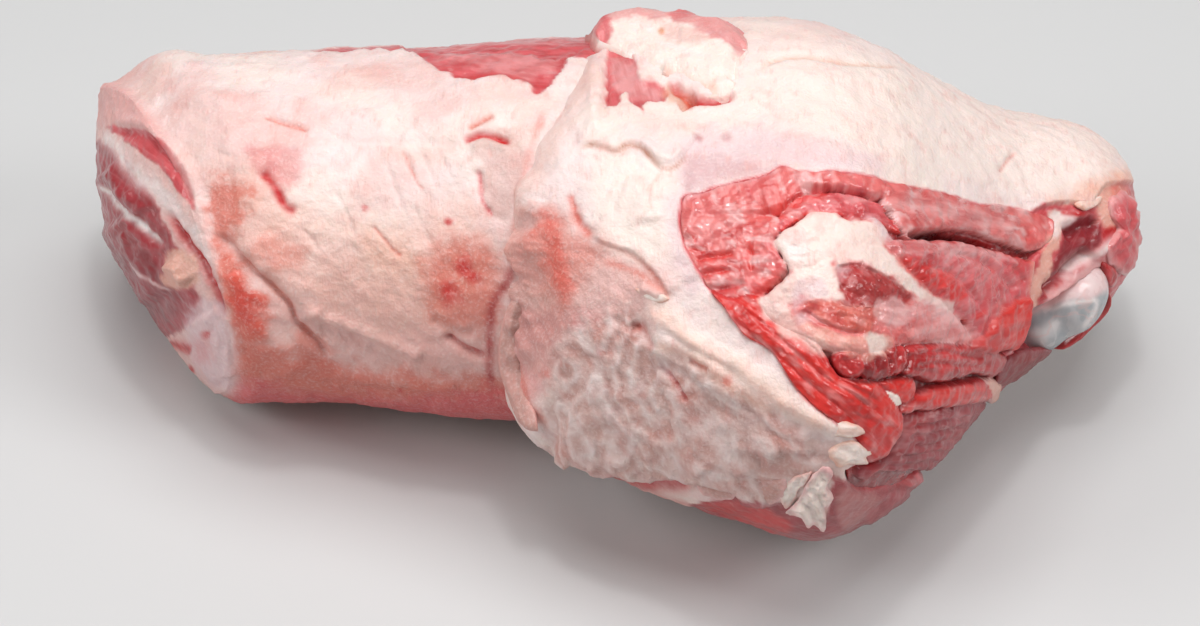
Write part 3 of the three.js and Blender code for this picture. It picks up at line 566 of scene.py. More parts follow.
BODY_PAINT = [
    # Painted shade along the crease where the collar laps the barrel.
    Line("crease of the collar", "531 160 522 200 516 240 512 280 502 310 494 350 494 390", "coral", 5, 0.3),
    Zone("rosy collar", "508 230 540 215 580 228 640 258 668 300 640 330 570 350 520 340 500 290", "pink", 0.7, 18,
         8),
    # Painted shade over the lower collar.
    Zone("dusky collar", "500 306 556 310 600 316 640 322 580 340 540 400 520 400 508 350", "rose", 0.45, 12, 6),
    Line("groove beside the roll", "512 318 514 346 520 374 531 404 552 432", "salmon", 4, 0.6),
    Zone("warm edge of the collar", "506 210 520 200 526 250 516 300 500 300", "salmon", 0.45, 9, 4),
    Zone("warm collar", "536 214 560 206 578 232 600 250 590 266 566 300 540 296 532 250", "salmon", 0.5, 14, 6),
    Zone("heart of the warm collar", "544 218 556 222 566 262 572 300 560 306 549 268", "coral", 0.75, 7, 5),
    Line("pink groove", "570 192 574 206 579 222 592 238", "coral", 4, 0.8),
    Line("fold shade", "592 240 630 254 652 273 668 296", "salmon", 3, 0.6),
    Line("red by the shred", "600 262 625 268 650 282 672 300", "salmon", 4, 0.5),
    Line("shade under the torn edge", "573 149 594 145 616 151 627 145 640 147 649 155 661 166 672 167 683 159 692"
         " 149", "tan", 2.0, 0.7),
    Zone("cream shoulder", "596 150 640 160 672 170 676 240 660 262 610 244 590 210", "cream", 0.8, 12, 5),
    Zone("muscle patch", "607 50 622 48 634 60 640 79 651 79 667 90 665 100 647 103 644 113 633 106 625 92 616 106"
         " 606 98", "rose", 0.95, 2, 3, 0.8, 1, 0.5, 70),
    Zone("veil of the muscle patch", "610 56 632 62 644 80 664 92 650 102 630 98 612 80", "pale", 0.55, 6, 6, 0,
         0.7, 0.5, 70),
    # Painted shade: dark lean in the gap under the tongue's lip.
    Line("gap under the tongue", "664 82 680 91 694 97 704 100 714 100 724 97 736 92", "lean", 4.5, 0.95, 1),
    Zone("grey wedge under the tongue", "666 86 690 92 696 102 682 106 664 98", "amber", 0.5, 4, 3, 0, 0.2),
    # Painted shade: dark lean in the hole by the tongue.
    Spot("hole by the tongue", 690, 103, 6, "lean", 0.8),
    Zone("clean fat of the top", "740 60 800 36 900 56 1000 96 1090 136 1136 180 1060 202 960 182 870 160 780 126"
         " 740 110", "cream", 0.75, 20, 8),
    Zone("lilac membrane", "684 140 720 126 780 132 865 152 880 176 800 166 760 172 715 186 684 192", "lilac", 0.6,
         11, 8),
    Zone("deep lilac", "690 160 730 158 764 168 715 184 686 190", "mauve", 0.22, 8, 6),
    Zone("lilac left of the window", "664 200 684 196 684 240 700 280 690 290 672 250", "lilac", 0.6, 8, 5),
    Spot("bruise", 699, 138, 5, "mauve", 0.45),
    Spot("bruise", 727, 138, 6, "mauve", 0.3),
    Zone("membrane of the apron", APRON, "grey", 0.85, 14, 9, 0, 0, 0.55),
    Zone("warm flank of the collar", "508 262 516 200 534 150 566 104 590 62 600 80 580 116 552 160 534 214 526"
         " 262", "peach", 0.3, 8, 6),
    # Painted shade by the roll.
    Zone("dusk by the roll", "512 290 560 292 580 330 556 372 520 366", "grey", 0.5, 14, 8),
    Line("warm border over the end", "1036 210 1060 207 1078 199 1094 193 1108 189 1120 181 1134 179", "peach", 10,
         0.8),
    Line("cream rim", "640 300 665 312 690 334 726 358 762 380 787 402 811 415 828 422 852 429", "cream", 11, 0.9),
    Line("warm rim", "642 306 667 318 692 340 728 364 764 386 789 408 813 420 830 427", "peach", 9, 0.5),
    Line("peach under the rim", "650 340 690 356 722 378 752 396 780 418", "peach", 6, 0.7),
    Line("crack in the apron", "658 364 668 376 678 388 687 403", "blood", 2, 0.85),
    Line("small crack", "690 360 702 366 712 370", "salmon", 2.4, 0.8),
    Line("pit of the apron", "632 322 644 334 652 352", "coral", 4, 0.8),
    *(Spot("red of the apron", *row) for row in (
        (600, 352, 5, "coral", 0.6), (546, 374, 6, "coral", 0.5), (730, 380, 6, "coral", 0.6))),
    Line("red under the apron", "606 472 640 482 695 484", "lean", 6, 0.95, 1),
    Line("rosy lower edge", "560 462 600 478 650 496 700 510", "salmon", 9, 0.5),
    Zone("belly", "690 506 720 500 740 494 784 506 823 520 833 478 859 488 905 488 930 510 895 545 852 562 811 570"
         " 768 566 732 544 690 522", "mauve", 1, 2.5, 3, 0.4, 1, 0.6, 20),
    Zone("edge of the sheet", "984 380 1012 376 1020 420 980 470 930 510 880 530 862 494 908 486 957 460 985 430",
         "mauve", 1, 2.5, 2, 0, 1, 0.5, -20),
    Zone("bright belly", "696 506 745 502 780 516 790 536 760 536 730 522", "bright", 0.7, 5, 4, 0, 1, 0.6, 20),
    Zone("veil on the belly", "838 486 860 494 880 500 862 524 846 530 836 510", "grey", 0.4, 4, 3, 0, 0.6, 0.5),
    Zone("window of lean", WINDOW, "rose", 1, 2, 1.0, 0, 1, 0.7, 30, 1),
    Zone("right end", "1030 214 1047 206 1074 205 1096 206 1106 190 1136 188 1160 233 1140 285 1110 318 1062 364"
         " 1000 394 1003 362 1026 323 1030 262", "rose", 1, 2.5, 3, 0, 1, 0.6, 120),
    Zone("deep end recess", "1066 222 1096 216 1102 228 1098 244 1070 272 1036 306 1046 274 1060 248", "grape", 0.9,
         3, 3, 0, 1, 0.6, 130),
    Zone("rind", "1048 214 1064 212 1062 236 1054 256 1046 278 1039 300 1030 308 1027 292 1035 268 1046 246",
         "peach", 0.85, 2.5, 5),
    Zone("white flap of the end", "1050 212 1074 212 1076 222 1062 232 1054 236", "white", 0.75, 3, 3, 0, 0.1),
    Line("red slit of the end", "1060 211 1072 213 1088 213", "blood", 2.4, 0.9, 1),
    Zone("pink of the end", "1096 200 1112 188 1130 190 1136 212 1118 230 1104 226", "peach", 0.85, 4, 4),
    Line("tendon of the end", "1123 234 1102 249 1086 261 1068 275", "white", 5, 0.85),
    Zone("membrane by the bone", "1046 298 1060 284 1078 270 1098 258 1106 268 1090 284 1062 300 1044 312", "pale",
         0.8, 4, 4, 0, 0.3),
    Line("red by the bone", "1036 302 1050 292 1064 284", "blood", 2.2, 0.7, 1),
    # Painted shade under the right end.
    Zone("brown under the end", "996 386 1002 362 1020 352 1040 352 1030 366 1012 386", "grape", 0.7, 4, 4, 0, 0.8,
         0.5, 150),
    Line("slash at the end", "1122 196 1117 204 1112 212", "blood", 3.5, 0.8, 1),
    Line("hole at the end", "1100 236 1110 231 1121 230", "blood", 4, 0.9, 1),
    Spot("warm spot at the end", 1116, 190, 9, "coral", 0.45),
    Line("small seam", "999 172 1008 160 1016 152", "salmon", 1.8, 0.5),
    Line("seam over the top", "758 65 782 57 813 57 861 64 906 67", "amber", 1.6, 0.4),
]
BODY_BACK = [
    Ridge("long fold of the back", "2 26 30 20 60 28 92 18", 10, 1.4),
    Ridge("groove under it", "10 14 34 8 54 14", 3, -1.0),
    Ridge("groove past it", "66 10 82 14 100 6", 2.6, -0.9),
    Ridge("fold below", "10 -18 44 -22 78 -14 104 -18", 8, 1.4),
    Ridge("crease", "24 36 44 32 62 38", 2.2, -0.8),
    Ridge("crease", "16 -34 40 -40 64 -32", 2.6, -1.0),
    Ridge("cut", "84 30 90 22 98 18", 1.8, -0.9),
    Ridge("dent", "40 -4 54 -8 66 -4", 7, -1.0),
    Ridge("dent at the end", "112 20 122 4 116 -14", 7, -1.4),
]
BODY_BACK_PAINT = [
    Zone("lean low on the back", "22 -32 48 -38 84 -30 92 -42 70 -54 36 -56 18 -44", "rose", 0.95, 1.2, 2.2, 0.6, 1,
         0.5, 5),
    Zone("warm end", "100 14 114 16 126 6 124 -10 112 -18 100 -8", "salmon", 0.35, 6, 5),
    Zone("warm back", "10 38 50 32 84 40 60 48 20 48", "salmon", 0.3, 9, 4),
    Zone("pale membrane", "36 4 70 10 84 -4 60 -16 34 -10", "lilac", 0.45, 7, 4),
    Zone("blush", "0 6 16 14 22 -4 6 -12", "pink", 0.6, 7, 4),
    Line("groove of the back", "10 14 34 8 54 14", "salmon", 1.4, 0.4),
    Line("cut", "84 30 90 22 98 18", "salmon", 1.4, 0.6),
    Spot("clot", 44, 26, 3, "blood", 0.35),
    Spot("clot", 76, -6, 4, "blood", 0.3),
]
TONGUE_OUTLINE = ("594 34 590 14 606 1 638 -6 668 -5 694 -2 720 8 744 22 747 46 737 64 736 80 730 89 716 93 702 92"
                  " 688 86 671 79 652 71 636 60 620 49 604 42")
TONGUE_BACK = "582 50 587 14 604 -1 638 -8 668 -7 694 -4 722 6 748 20 754 54"
TONGUE_BULGES = [
    Bulge("tongue", TONGUE_OUTLINE, 1.6, 26, "cream", "white", 15, 0, 3, 0, 0.35),
]
TONGUE_DRAPE = [
    Ridge("drape at the back", TONGUE_BACK, 14, -7.0),
    Ridge("droop of the lip", "664 76 682 84 702 92 722 92 744 80", 11, -3.0),
]
TONGUE_RIM_PAINT = [
    Line("back rim", TONGUE_BACK, "flush", 13, 0.8, 0.5),
    # Painted shade: dark lean on the wall under the tongue's lip.
    Line("slit under the lip", "660 82 682 92 704 101 724 101 742 92", "lean", 6, 0.95, 0.6),
]
TONGUE_SHAPES = [
    Ridge("dent of the tongue", "632 42 656 36 684 40", 9, -0.5),
    Ridge("run-out of the tongue", "744 40 740 56 738 70 737 82", 9, -1.7),
    Ridge("run-in of the tongue", "598 34 606 44 620 51 638 63 654 73 664 78", 8, -1.7),
    Ridge("rolled edge of the tongue", "664 72 686 79 706 86 724 85 733 76", 6, 0.8),
]
TONGUE_PAINT = [
    Zone("rose band of the tongue", "670 14 690 -2 724 6 750 24 750 44 738 54 724 48 706 38 686 30 672 24", "rose",
         0.6, 3, 4, 0, 0.6, 0.5, 30),
    Zone("rose top of the tongue", "580 14 600 -14 700 -14 700 10 672 24 640 22 620 26 600 24", "rose", 0.5, 3, 4,
         0, 0.5, 0.5, 5),
    Zone("rose root of the tongue", "584 4 604 0 612 34 606 46 590 46", "rose", 0.85, 3, 4, 0, 0.7, 0.5, 70),
    Zone("blush of the tongue", "664 28 696 32 706 46 682 48 664 40", "pink", 0.5, 6, 4),
    Line("amber edge of the tongue", "660 74 682 81 702 88 722 88", "peach", 5, 0.6),
    Spot("warm spot", 662, 35, 4, "amber", 0.8),
]

LEAN_BULGES = [
    Bulge("top band", "682 199 702 191 721 184 762 174 782 164 803 170 839 169 872 175 892 182 882 197 858 190 830"
          " 187 806 189 790 198 776 212 740 216 700 218 682 214", 2.5, 8, "flush", "rose", 75, 0.7),
    Bulge("under the groove", "806 191 830 189 858 192 882 200 893 216 905 233 885 224 868 221 850 220 838 213 816"
          " 211 800 216 780 230 774 216 790 200", 1.9, 14, "rose", "bright", 10, 0.5),
    Bulge("upper right", "886 182 928 188 979 203 1017 207 1050 216 1056 232 1036 251 1017 247 992 237 966 230 941"
          " 229 920 236 906 235 894 215 884 199", 2.7, 9, "flush", "pale", 50, 0.9),
    Bulge("left block", "681 212 735 210 775 212 780 230 774 240 779 253 786 268 770 286 758 298 730 302 712 291"
          " 698 276 688 257 680 238", 2.5, 10, "flush", "rose", 4, 0.8),
    Bulge("lower band", "712 289 730 296 759 294 765 313 782 326 803 334 818 344 833 367 846 378 877 381 890 395"
          " 899 406 904 431 889 454 868 463 857 442 852 427 826 420 813 406 793 386 780 363 768 350 744 336 724"
          " 310", 3.8, 17, "bright", "lean", 40, 0.4, 4, 1, 0.5),
    Bulge("middle mass", "774 240 783 229 798 220 813 210 836 212 852 219 880 217 893 235 905 262 930 285 955 310"
          " 979 346 940 344 905 346 888 354 862 358 838 353 813 347 790 337 768 322 758 302 772 286 788 270 780"
          " 253", 2.5, 9, "flush", "pale", 12, 0.4, 4, 0.8),
    Bulge("right muscle", "885 241 915 239 953 240 979 245 1017 256 1034 261 1037 272 1028 293 1028 313 1018 335"
          " 987 348 976 346 965 323 952 313 929 292 904 265 886 250", 3.4, 15, "rose", "bright", -35, 0.3),
    Bulge("red corner", "970 349 980 332 990 316 1006 303 1022 296 1033 306 1031 322 1020 339 998 352", 4.6, 7,
          "bright", "flush", -30, 0.4, 4, 1, 0.5),
    *(Bulge("dark lump", *row) for row in (
        ("836 352 858 350 867 364 860 379 846 378 833 366", 2.9, 8, "lean", "deep", 70, 0.05, 3, 1, 0.9),
        ("862 353 884 350 891 364 885 380 866 380 859 366", 3.1, 8, "deep", "lean", 80, 0.05, 3, 1, 0.9),
        ("886 348 905 345 908 362 902 376 886 378 888 362", 2.9, 8, "lean", "deep", 75, 0.05, 3, 1, 0.9))),
    Bulge("low right", "906 346 940 343 975 345 1003 352 1002 368 993 378 974 375 941 383 915 378 903 375 907 360",
          3.2, 10, "lean", "deep", 3, 0.1),
    Bulge("low lump", "878 382 902 376 914 379 917 395 906 405 891 397", 3.2, 8, "bright", "lean", 20, 0.2),
    Bulge("lowest right", "915 396 941 387 955 385 984 380 996 385 992 401 941 409 905 414 901 407", 3.0, 8,
          "bright", "lean", -6, 0.25),
    Bulge("pale tab", "984 381 998 381 1005 392 992 404 987 399", 3.2, 6, "peach", "pale", 40, 0, 4, 0.2, 0.5, 2.4),
    Bulge("pale bit", "884 391 896 393 901 404 890 406", 3.3, 4, "cream", "pale", 40, 0, 3, 0.2, 0.5),
    Bulge("sheet", "903 418 941 410 989 403 978 432 955 462 936 472 884 476 866 484 860 474 884 463 903 438", 1.9,
          10, "mauve", "grape", -8, 0.3, 8, 1, 0.45),
]
LEAN_CUTS = [
    Ridge("groove of the top band", "803 188 830 187 858 191 884 199", 2.6, -1.2),
    *(Ridge("gash", *row) for row in (
        ("681 239 688 238 697 238", 2.4, -0.7), ("687 247 696 250 708 249", 2.6, -0.7),
        ("695 260 712 257 736 254", 2.6, -0.8), ("697 275 714 272 732 268", 2.6, -0.8),
        ("706 290 722 287 746 281", 3.4, -1.0), ("724 229 732 228 742 227", 2.4, -0.4),
        ("710 240 724 238 736 239", 2.0, -0.3), ("746 246 752 252 760 252", 2.4, -0.6),
        ("751 240 750 256 752 272", 2.4, -0.6), ("752 298 768 288 784 277", 3.4, -0.7))),
    Ridge("gash of the top band", "734 222 760 216 786 206 806 194", 5, -0.7),
    Ridge("slit", "906 234 926 233 944 232 962 236 984 243 1004 248", 3.2, -3.8),
    *(Ridge("furrow of the lower band", *row) for row in (
        ("740 306 780 338 815 370 850 394 880 414", 2.6, -0.5),
        ("732 316 764 344 796 372 828 398 856 420", 2.6, -0.4),
        ("790 330 812 348 832 374 858 390 884 406", 2.4, -0.5), ("850 412 872 420 892 428", 2.4, -0.4))),
    *(Ridge("fold of the right muscle", *row) for row in (
        ("916 262 944 272 968 292 984 318", 3, -0.7), ("946 252 978 262 1004 282 1016 306", 3, -0.7),
        ("986 254 1010 266 1024 284", 2.6, -0.6))),
    Ridge("furrow of the low right", "912 354 945 352 985 358", 2.2, -0.6),
    Ridge("furrow of the low right", "912 366 945 363 988 368", 2.2, -0.6),
    *(Ridge("split of the sheet", *row) for row in (
        ("912 428 945 423 974 417", 1.8, -0.9), ("908 438 938 434 966 428", 1.8, -0.8),
        ("914 448 940 445 962 440", 1.8, -0.8), ("900 458 930 456 952 452", 1.8, -0.8),
        ("890 468 918 466 940 462", 1.8, -0.7))),
    Ridge("dome of the eye", "850 279 876 287 898 298", 11, 0.5),
    Step("edge of the fat sheet", "834 264 848 264 858 264 862 262 866 268 878 272 890 280 906 291", -1, 1.4, 20,
         0.5),
    Step("left edge of the fat sheet", "779 254 774 240 782 232 798 221 812 211 830 211 842 218", 1, 1.4, 24, 0.4),
    Ridge("lower arm", "794 326 820 338 846 345 872 346", 6, 0.7),
    Ridge("furrow over the lower arm", "804 309 822 322 845 331 862 333", 2.2, -0.8),
    *(Ridge("wrinkle of the sheet", *row) for row in (
        ("790 246 806 244 820 240", 2, -0.2), ("788 256 806 256 822 252", 2, -0.25),
        ("794 268 810 266 826 258", 2, -0.25))),
    Ridge("loop of the sheet", "800 272 786 288 778 302 784 320", 7, 0.5),
]
LEAN_PAINT = [
    *(Line("gash", *row) for row in (
        ("681 239 688 238 697 238", "bright", 3, 0.8, 1), ("687 247 696 250 708 249", "bright", 3.4, 0.9, 1),
        ("695 260 712 257 736 254", "bright", 3.6, 0.9, 1), ("697 275 714 272 732 268", "bright", 3.6, 0.9, 1),
        ("706 290 722 287 746 281", "lean", 5, 0.95, 1), ("751 240 750 256 752 272", "bright", 3, 0.7, 1),
        ("752 298 768 288 784 277", "bright", 6, 0.8, 1))),
    Line("gash of the top band", "734 222 760 216 786 206 806 194", "bright", 8, 0.75, 1),
    Line("film on the rim", "676 214 682 199 702 191 721 184 762 174 782 164", "lilac", 6, 0.6),
    Line("film on the rim", "678 206 679 238 687 258 698 278 712 294", "pink", 5, 0.55),
    # Painted shade down the slit.
    Line("slit", "916 234 930 233 944 232 962 236 984 243", "dark", 2.8, 0.9, 1),
    Line("pale lip of the slit", "916 241 940 238 966 241 990 248", "pale", 1.8, 0.6),
    Line("pale streak of the lower band", "836 380 854 393 870 406", "pale", 2.4, 0.5, 1),
    Line("pale streak of the lower band", "772 336 800 356 824 384", "pale", 1.8, 0.35, 1),
    Line("pale edge of the lower band", "724 306 744 330 768 346 782 366", "pale", 2, 0.5, 1),
    Zone("below the eye", "806 304 826 300 845 302 880 306 876 320 866 332 845 330 822 320", "salmon", 0.7, 3, 3, 0,
         1, 0.6, 20),
    Zone("eye", "836 266 859 265 874 271 905 290 911 299 898 308 879 307 844 303 838 285", "brown", 0.92, 2, 2, 0,
         1, 0.5, 35),
    Zone("pale corner of the eye", "836 265 850 266 848 276 840 282", "lilac", 0.5, 3, 2, 0, 0.7),
    Zone("cream sheet", "774 240 781 232 798 221 812 211 830 211 842 218 866 218 879 220 886 232 884 243 894 256"
         " 908 270 923 288 942 302 950 309 944 310 930 304 915 297 904 290 889 280 877 272 866 268 861 263 848 264"
         " 834 264 836 275 839 288 841 300 826 300 812 298 806 290 800 282 790 272 780 253", "cream", 0.92, 4, 5, 0,
         0, 0.45),
    Zone("loop of the sheet", "786 270 806 266 812 280 800 290 794 300 790 312 794 322 806 331 822 340 836 350 822"
         " 352 806 344 790 337 772 323 763 312 758 299 772 286", "cream", 0.8, 4, 5, 0, 0, 0.45),
    Zone("pink of the loop", "770 316 800 316 824 336 838 350 815 353 788 338", "pink", 0.65, 4, 4, 0, 0, 0.45),
    Zone("lower arm", "806 320 830 331 848 335 866 335 880 334 890 342 884 356 866 359 850 357 836 351 820 341 800"
         " 330", "peach", 0.6, 3, 4, 0, 0.2, 0.6),
    Zone("cream tip", "864 336 878 334 887 344 880 356 868 352", "cream", 0.8, 2.5, 2.5, 0, 0, 0.5),
    Zone("lilac corner of the sheet", "866 214 884 219 900 238 888 243 878 232", "lilac", 0.6, 4, 3, 0, 0.2, 0.6),
    Zone("glassy membrane", "798 284 812 276 824 282 826 296 812 298 800 304 795 312 793 300", "lilac", 0.6, 4, 3,
         0, 0.1, 0.8),
    Zone("lilac of the sheet", "786 236 800 232 810 246 804 262 790 260", "white", 0.7, 6, 4, 0, 0, 0.7),
    Zone("veil by the eye", "876 302 892 296 906 304 922 307 912 320 892 326 874 320", "pale", 0.7, 4, 5, 0, 0.5,
         0.7, 20),
    Zone("pale web", "930 300 950 310 974 334 962 343 930 338 908 330", "pale", 0.55, 6, 6, 0, 0.8, 0.7, -15),
    Zone("membrane of the right muscle", "884 242 920 240 960 244 1000 252 1012 264 960 257 915 257 896 255",
         "pale", 0.6, 4, 5, 0, 0.9, 0.8, 10),
    Zone("red fan", "896 260 920 262 950 276 956 294 936 292 912 276", "bright", 0.7, 5, 4, 0, 1, 0.7, -35),
    Line("edge of the eye", "838 266 848 267 862 267 878 275 900 289 912 298", "brown", 2, 0.6, 1),
    Line("fringe of the right edge", "1054 232 1047 250 1036 264 1031 282 1027 300", "peach", 5, 0.85),
    Line("fringe of the right edge", "1050 240 1042 256 1034 272", "cream", 2, 0.7),
    Spot("mauve spot", 806, 312, 6, "mauve", 0.7),
    Spot("mauve spot", 815, 306, 5, "mauve", 0.6),
    Spot("lilac spot", 800, 318, 7, "lilac", 0.6),
    # Painted shade in the groove under the lumps.
    Line("dark groove of the lumps", "844 379 862 381 880 380 902 377 916 380", "dark", 2.4, 0.7, 1),
    Line("white of the web", "918 296 940 314 962 322 976 342", "pale", 3, 0.55, 1),
    # Painted highlights: pale sheen on the right muscle, the upper right and the left block.
    Zone("veil of the right muscle", "930 250 968 252 1000 268 990 296 960 286 936 268", "pale", 0.2, 9, 7, 0, 1,
         0.8, -35),
    Zone("veil of the upper right", "900 196 960 206 1010 218 1000 230 950 218 900 210", "pale", 0.55, 7, 7, 0, 1,
         0.8, 18),
    Zone("veil of the left block", "690 214 740 206 768 216 740 236 700 250", "pale", 0.25, 8, 8, 0, 1, 0.8, 4),
]
FLAPS = [
    Flap("flake_corner", "818 424 836 419 856 424 863 430 854 436 838 436 822 434", 1.0, "cream", "peach", 5, 0,
         0.3, 0.5, 0.8, 0),
    Flap("flake_side", "832 447 850 440 862 445 869 451 862 455 864 462 848 463 838 466 830 457", 0.9, "cream",
         "peach", 10, 0, 0.3, 0.5, 1.0, 10),
    Flap("flake_plate", "802 494 807 482 817 470 826 467 833 474 828 486 833 497 827 508 824 527 815 521 808 523"
         " 801 515 786 511 794 503", 0.6, "cream", "pale", 60, 0, 0.3, 1.3, 0.8, 110),
    Flap("flake_fold", "780 492 786 482 798 476 811 472 807 482 799 489 795 499 788 505 783 501", 0.7, "cream",
         "pink", 130, 0, 0.3, 0.7, 0.5, 150),
    Flap("flake_low", "735 480 748 473 766 470 784 476 788 489 778 500 760 500 746 494", 0.6, "grey", "pale", 10, 0,
         0.3, 0.6, 0.9, 85),
    Flap("flake_leaf", "698 473 716 466 736 473 740 487 730 497 712 495 700 487", 0.6, "grey", "pale", 10, 0, 0.3,
         0.6, 0.8, 85),
    Flap("shred", "636 289 648 289 662 293 670 299 660 303 646 299", 0.9, "cream", "peach", 10, 0, 0.3, 0.4, 0.6,
         0),
    Flap("end_fat", "1074 204 1088 198 1101 197 1099 204 1088 210 1078 210", 0.8, "cream", "peach", 160, 0, 0.3,
         0.3, 0.6, 90),
    Flap("end_lobe", "1110 197 1121 191 1130 198 1136 215 1138 236 1134 256 1126 274 1117 273 1106 260 1105 247"
         " 1112 236 1117 228 1109 214", 2.0, "rose", "pale", 75, 0.75, 0.5, 1.0, 0, 0),
    Flap("end_drop", "1102 262 1114 270 1112 285 1104 284", 1.6, "lean", "deep", 80, 1, 0.7, 0.3),
    # Membrane under the end, darkened as painted shade.
    Flap("end_membrane", "996 381 1000 366 1008 355 1024 350 1052 349 1038 360 1024 373 1006 385", 1.2, "deep",
         "grape", 150, 0.8, 0.5, 0.4),
]
ROLLS = [
    Roll("collar_roll", "533 282 521 302 514 324 511 348 514 376 524 404 543 428", (9, 13, 15, 17, 20, 22, 19), 2.5,
         "grey", "pink", 0, 0.35, 1.2),
    Roll("rim_under_bone", "1108 292 1104 308 1092 328 1074 343 1056 353", (3, 6, 6, 5, 3), 2.2, "lean", "deep", 1,
         0.7, 0.5),
]


# Surfaces that carry the features

class Surface:
    """Points with outward normals and pixels, which carry relief in mm along the normals and paint."""

    def __init__(self, base, normal, px, facing, tone):
        count = len(base)
        self.base = base
        self.normal = normal
        self.px = px
        self.facing = facing
        self.rise = np.zeros(count)
        self.lean = np.zeros(count)
        self.wet = np.full(count, FAT_WETNESS)
        self.tint = np.tile(np.asarray(tone, float), (count, 1))
        self.grain = base.copy()
        self.ragged = noise(base, FRAY_SIZE, 5)
        self.wobble = noise(base, WOBBLE_SIZE, 6, 2)

    def weight(self, feature, places=None, gate=None):
        """Where a feature acts: the vertices' index, and its share there from its distance."""
        places = self.px if places is None else places
        gate = self.facing if gate is None else gate
        if isinstance(feature, (Ridge, Line)):
            index, distance, share, side = near(places, trail(feature.line), RIDGE_REACH * feature.width)
            rough = RIDGE_ROUGHNESS / max(1.0, abs(getattr(feature, "height", 1.0)))
            offset = side * distance / feature.width + RIDGE_WOBBLE * self.wobble[index]
            offset = offset + RIDGE_FRAY * self.ragged[index]
            amount = np.exp(-offset ** 2) * (tapered(share, RIDGE_TAPER) * (1 + rough * self.ragged[index]))
        elif isinstance(feature, Step):
            index, distance, share, side = near(places, trail(feature.line), STEP_REACH * feature.fade)
            height = side * distance * feature.side + STEP_FRAY * self.ragged[index]
            height = height + STEP_WOBBLE * self.wobble[index]
            amount = smooth(height, -feature.edge, feature.edge) * np.exp(-np.maximum(height, 0) / feature.fade)
            amount = amount * tapered(share, STEP_TAPER)
        elif isinstance(feature, Spot):
            index = np.flatnonzero((np.abs(places - [feature.u, feature.v]) < 2 * feature.radius).all(1))
            distance = np.linalg.norm(places[index] - [feature.u, feature.v], axis=1)
            distance = distance * (1 + SPOT_ROUGHNESS * self.ragged[index])
            amount = 1 - smooth(distance, SPOT_HEART * feature.radius, SPOT_EDGE * feature.radius)
        else:
            index, depth = within(places, trail(feature.outline, True, 4), feature.soft + feature.ragged)
            depth = depth - feature.inset + feature.ragged * self.ragged[index]
            amount = smooth(depth, -feature.soft, feature.soft)
        return index, amount * gate[index]

    def shape(self, features, places=None, gate=None):
        """Adds the features' heights to the relief, where the gate lets them."""
        for feature in features:
            index, amount = self.weight(feature, places, gate)
            self.rise[index] += amount * (-feature.sunk if isinstance(feature, Zone) else feature.height)

    def paint(self, features, tones, places=None, gate=None):
        """Blends the features' tones, leanness, wetness and grain in, each over those before it."""
        spots, scale = (self.px, MM_PER_PX) if places is None else (places, 1.0)
        for feature in features:
            index, amount = self.weight(feature, places, gate)
            amount = amount * feature.strength
            self.tint[index] += amount[:, None] * (tones[feature.tone] - self.tint[index])
            if isinstance(feature, (Zone, Line)):
                self.lean[index] += amount * (feature.lean - self.lean[index])
            if isinstance(feature, Zone):
                self.wet[index] += amount * (feature.wet - self.wet[index])
                self.rise[index] -= amount * feature.sunk
                if feature.lean:
                    marked = index[amount > 0.05]
                    self.grain[marked] = grained(spots[marked], feature.grain, 0, scale)

    def tinge(self, tone, amount):
        """Moves the tint a share of the way to a tone."""
        self.tint += amount[:, None] * (tone - self.tint)

    def mottle(self, tones, tone, size, strength, seed, where=1, low=-0.1, high=0.6):
        """Blotches of a tone: a share of it grows with noise of the given size in mm."""
        self.tinge(tones[tone], strength * smooth(noise(self.base, size, seed), low, high) * where)

    def points(self):
        """Base points moved along their normals by the relief, flat where the joint rests."""
        resting = smooth(self.base[:, 2], 0, REST_HEIGHT)
        points = self.base + self.normal * (self.rise * resting)[:, None]
        points[:, 2] = np.maximum(points[:, 2], 0)
        return points

    def into_scene(self, context, name, node=None):
        """Makes the piece, which takes the place of a node of the solids if one is named."""
        piece = add_piece(name, self.points(), ring_faces(*self.grid), flesh(context), "meat",
                          tint=self.tint, lean=self.lean, wet=self.wet, grain=self.grain)
        if node:
            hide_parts(node)


def grained(px, degrees, number, scale=MM_PER_PX):
    """Grain coordinates in mm: along and across the given direction on the picture, and the bundle's number."""
    turn = math.radians(degrees)
    spin = np.array([[math.cos(turn), -math.sin(turn)], [math.sin(turn), math.cos(turn)]])
    return np.append(px @ spin * scale, np.full(px.shape[:-1] + (1,), BUNDLE_STEP * number), -1)


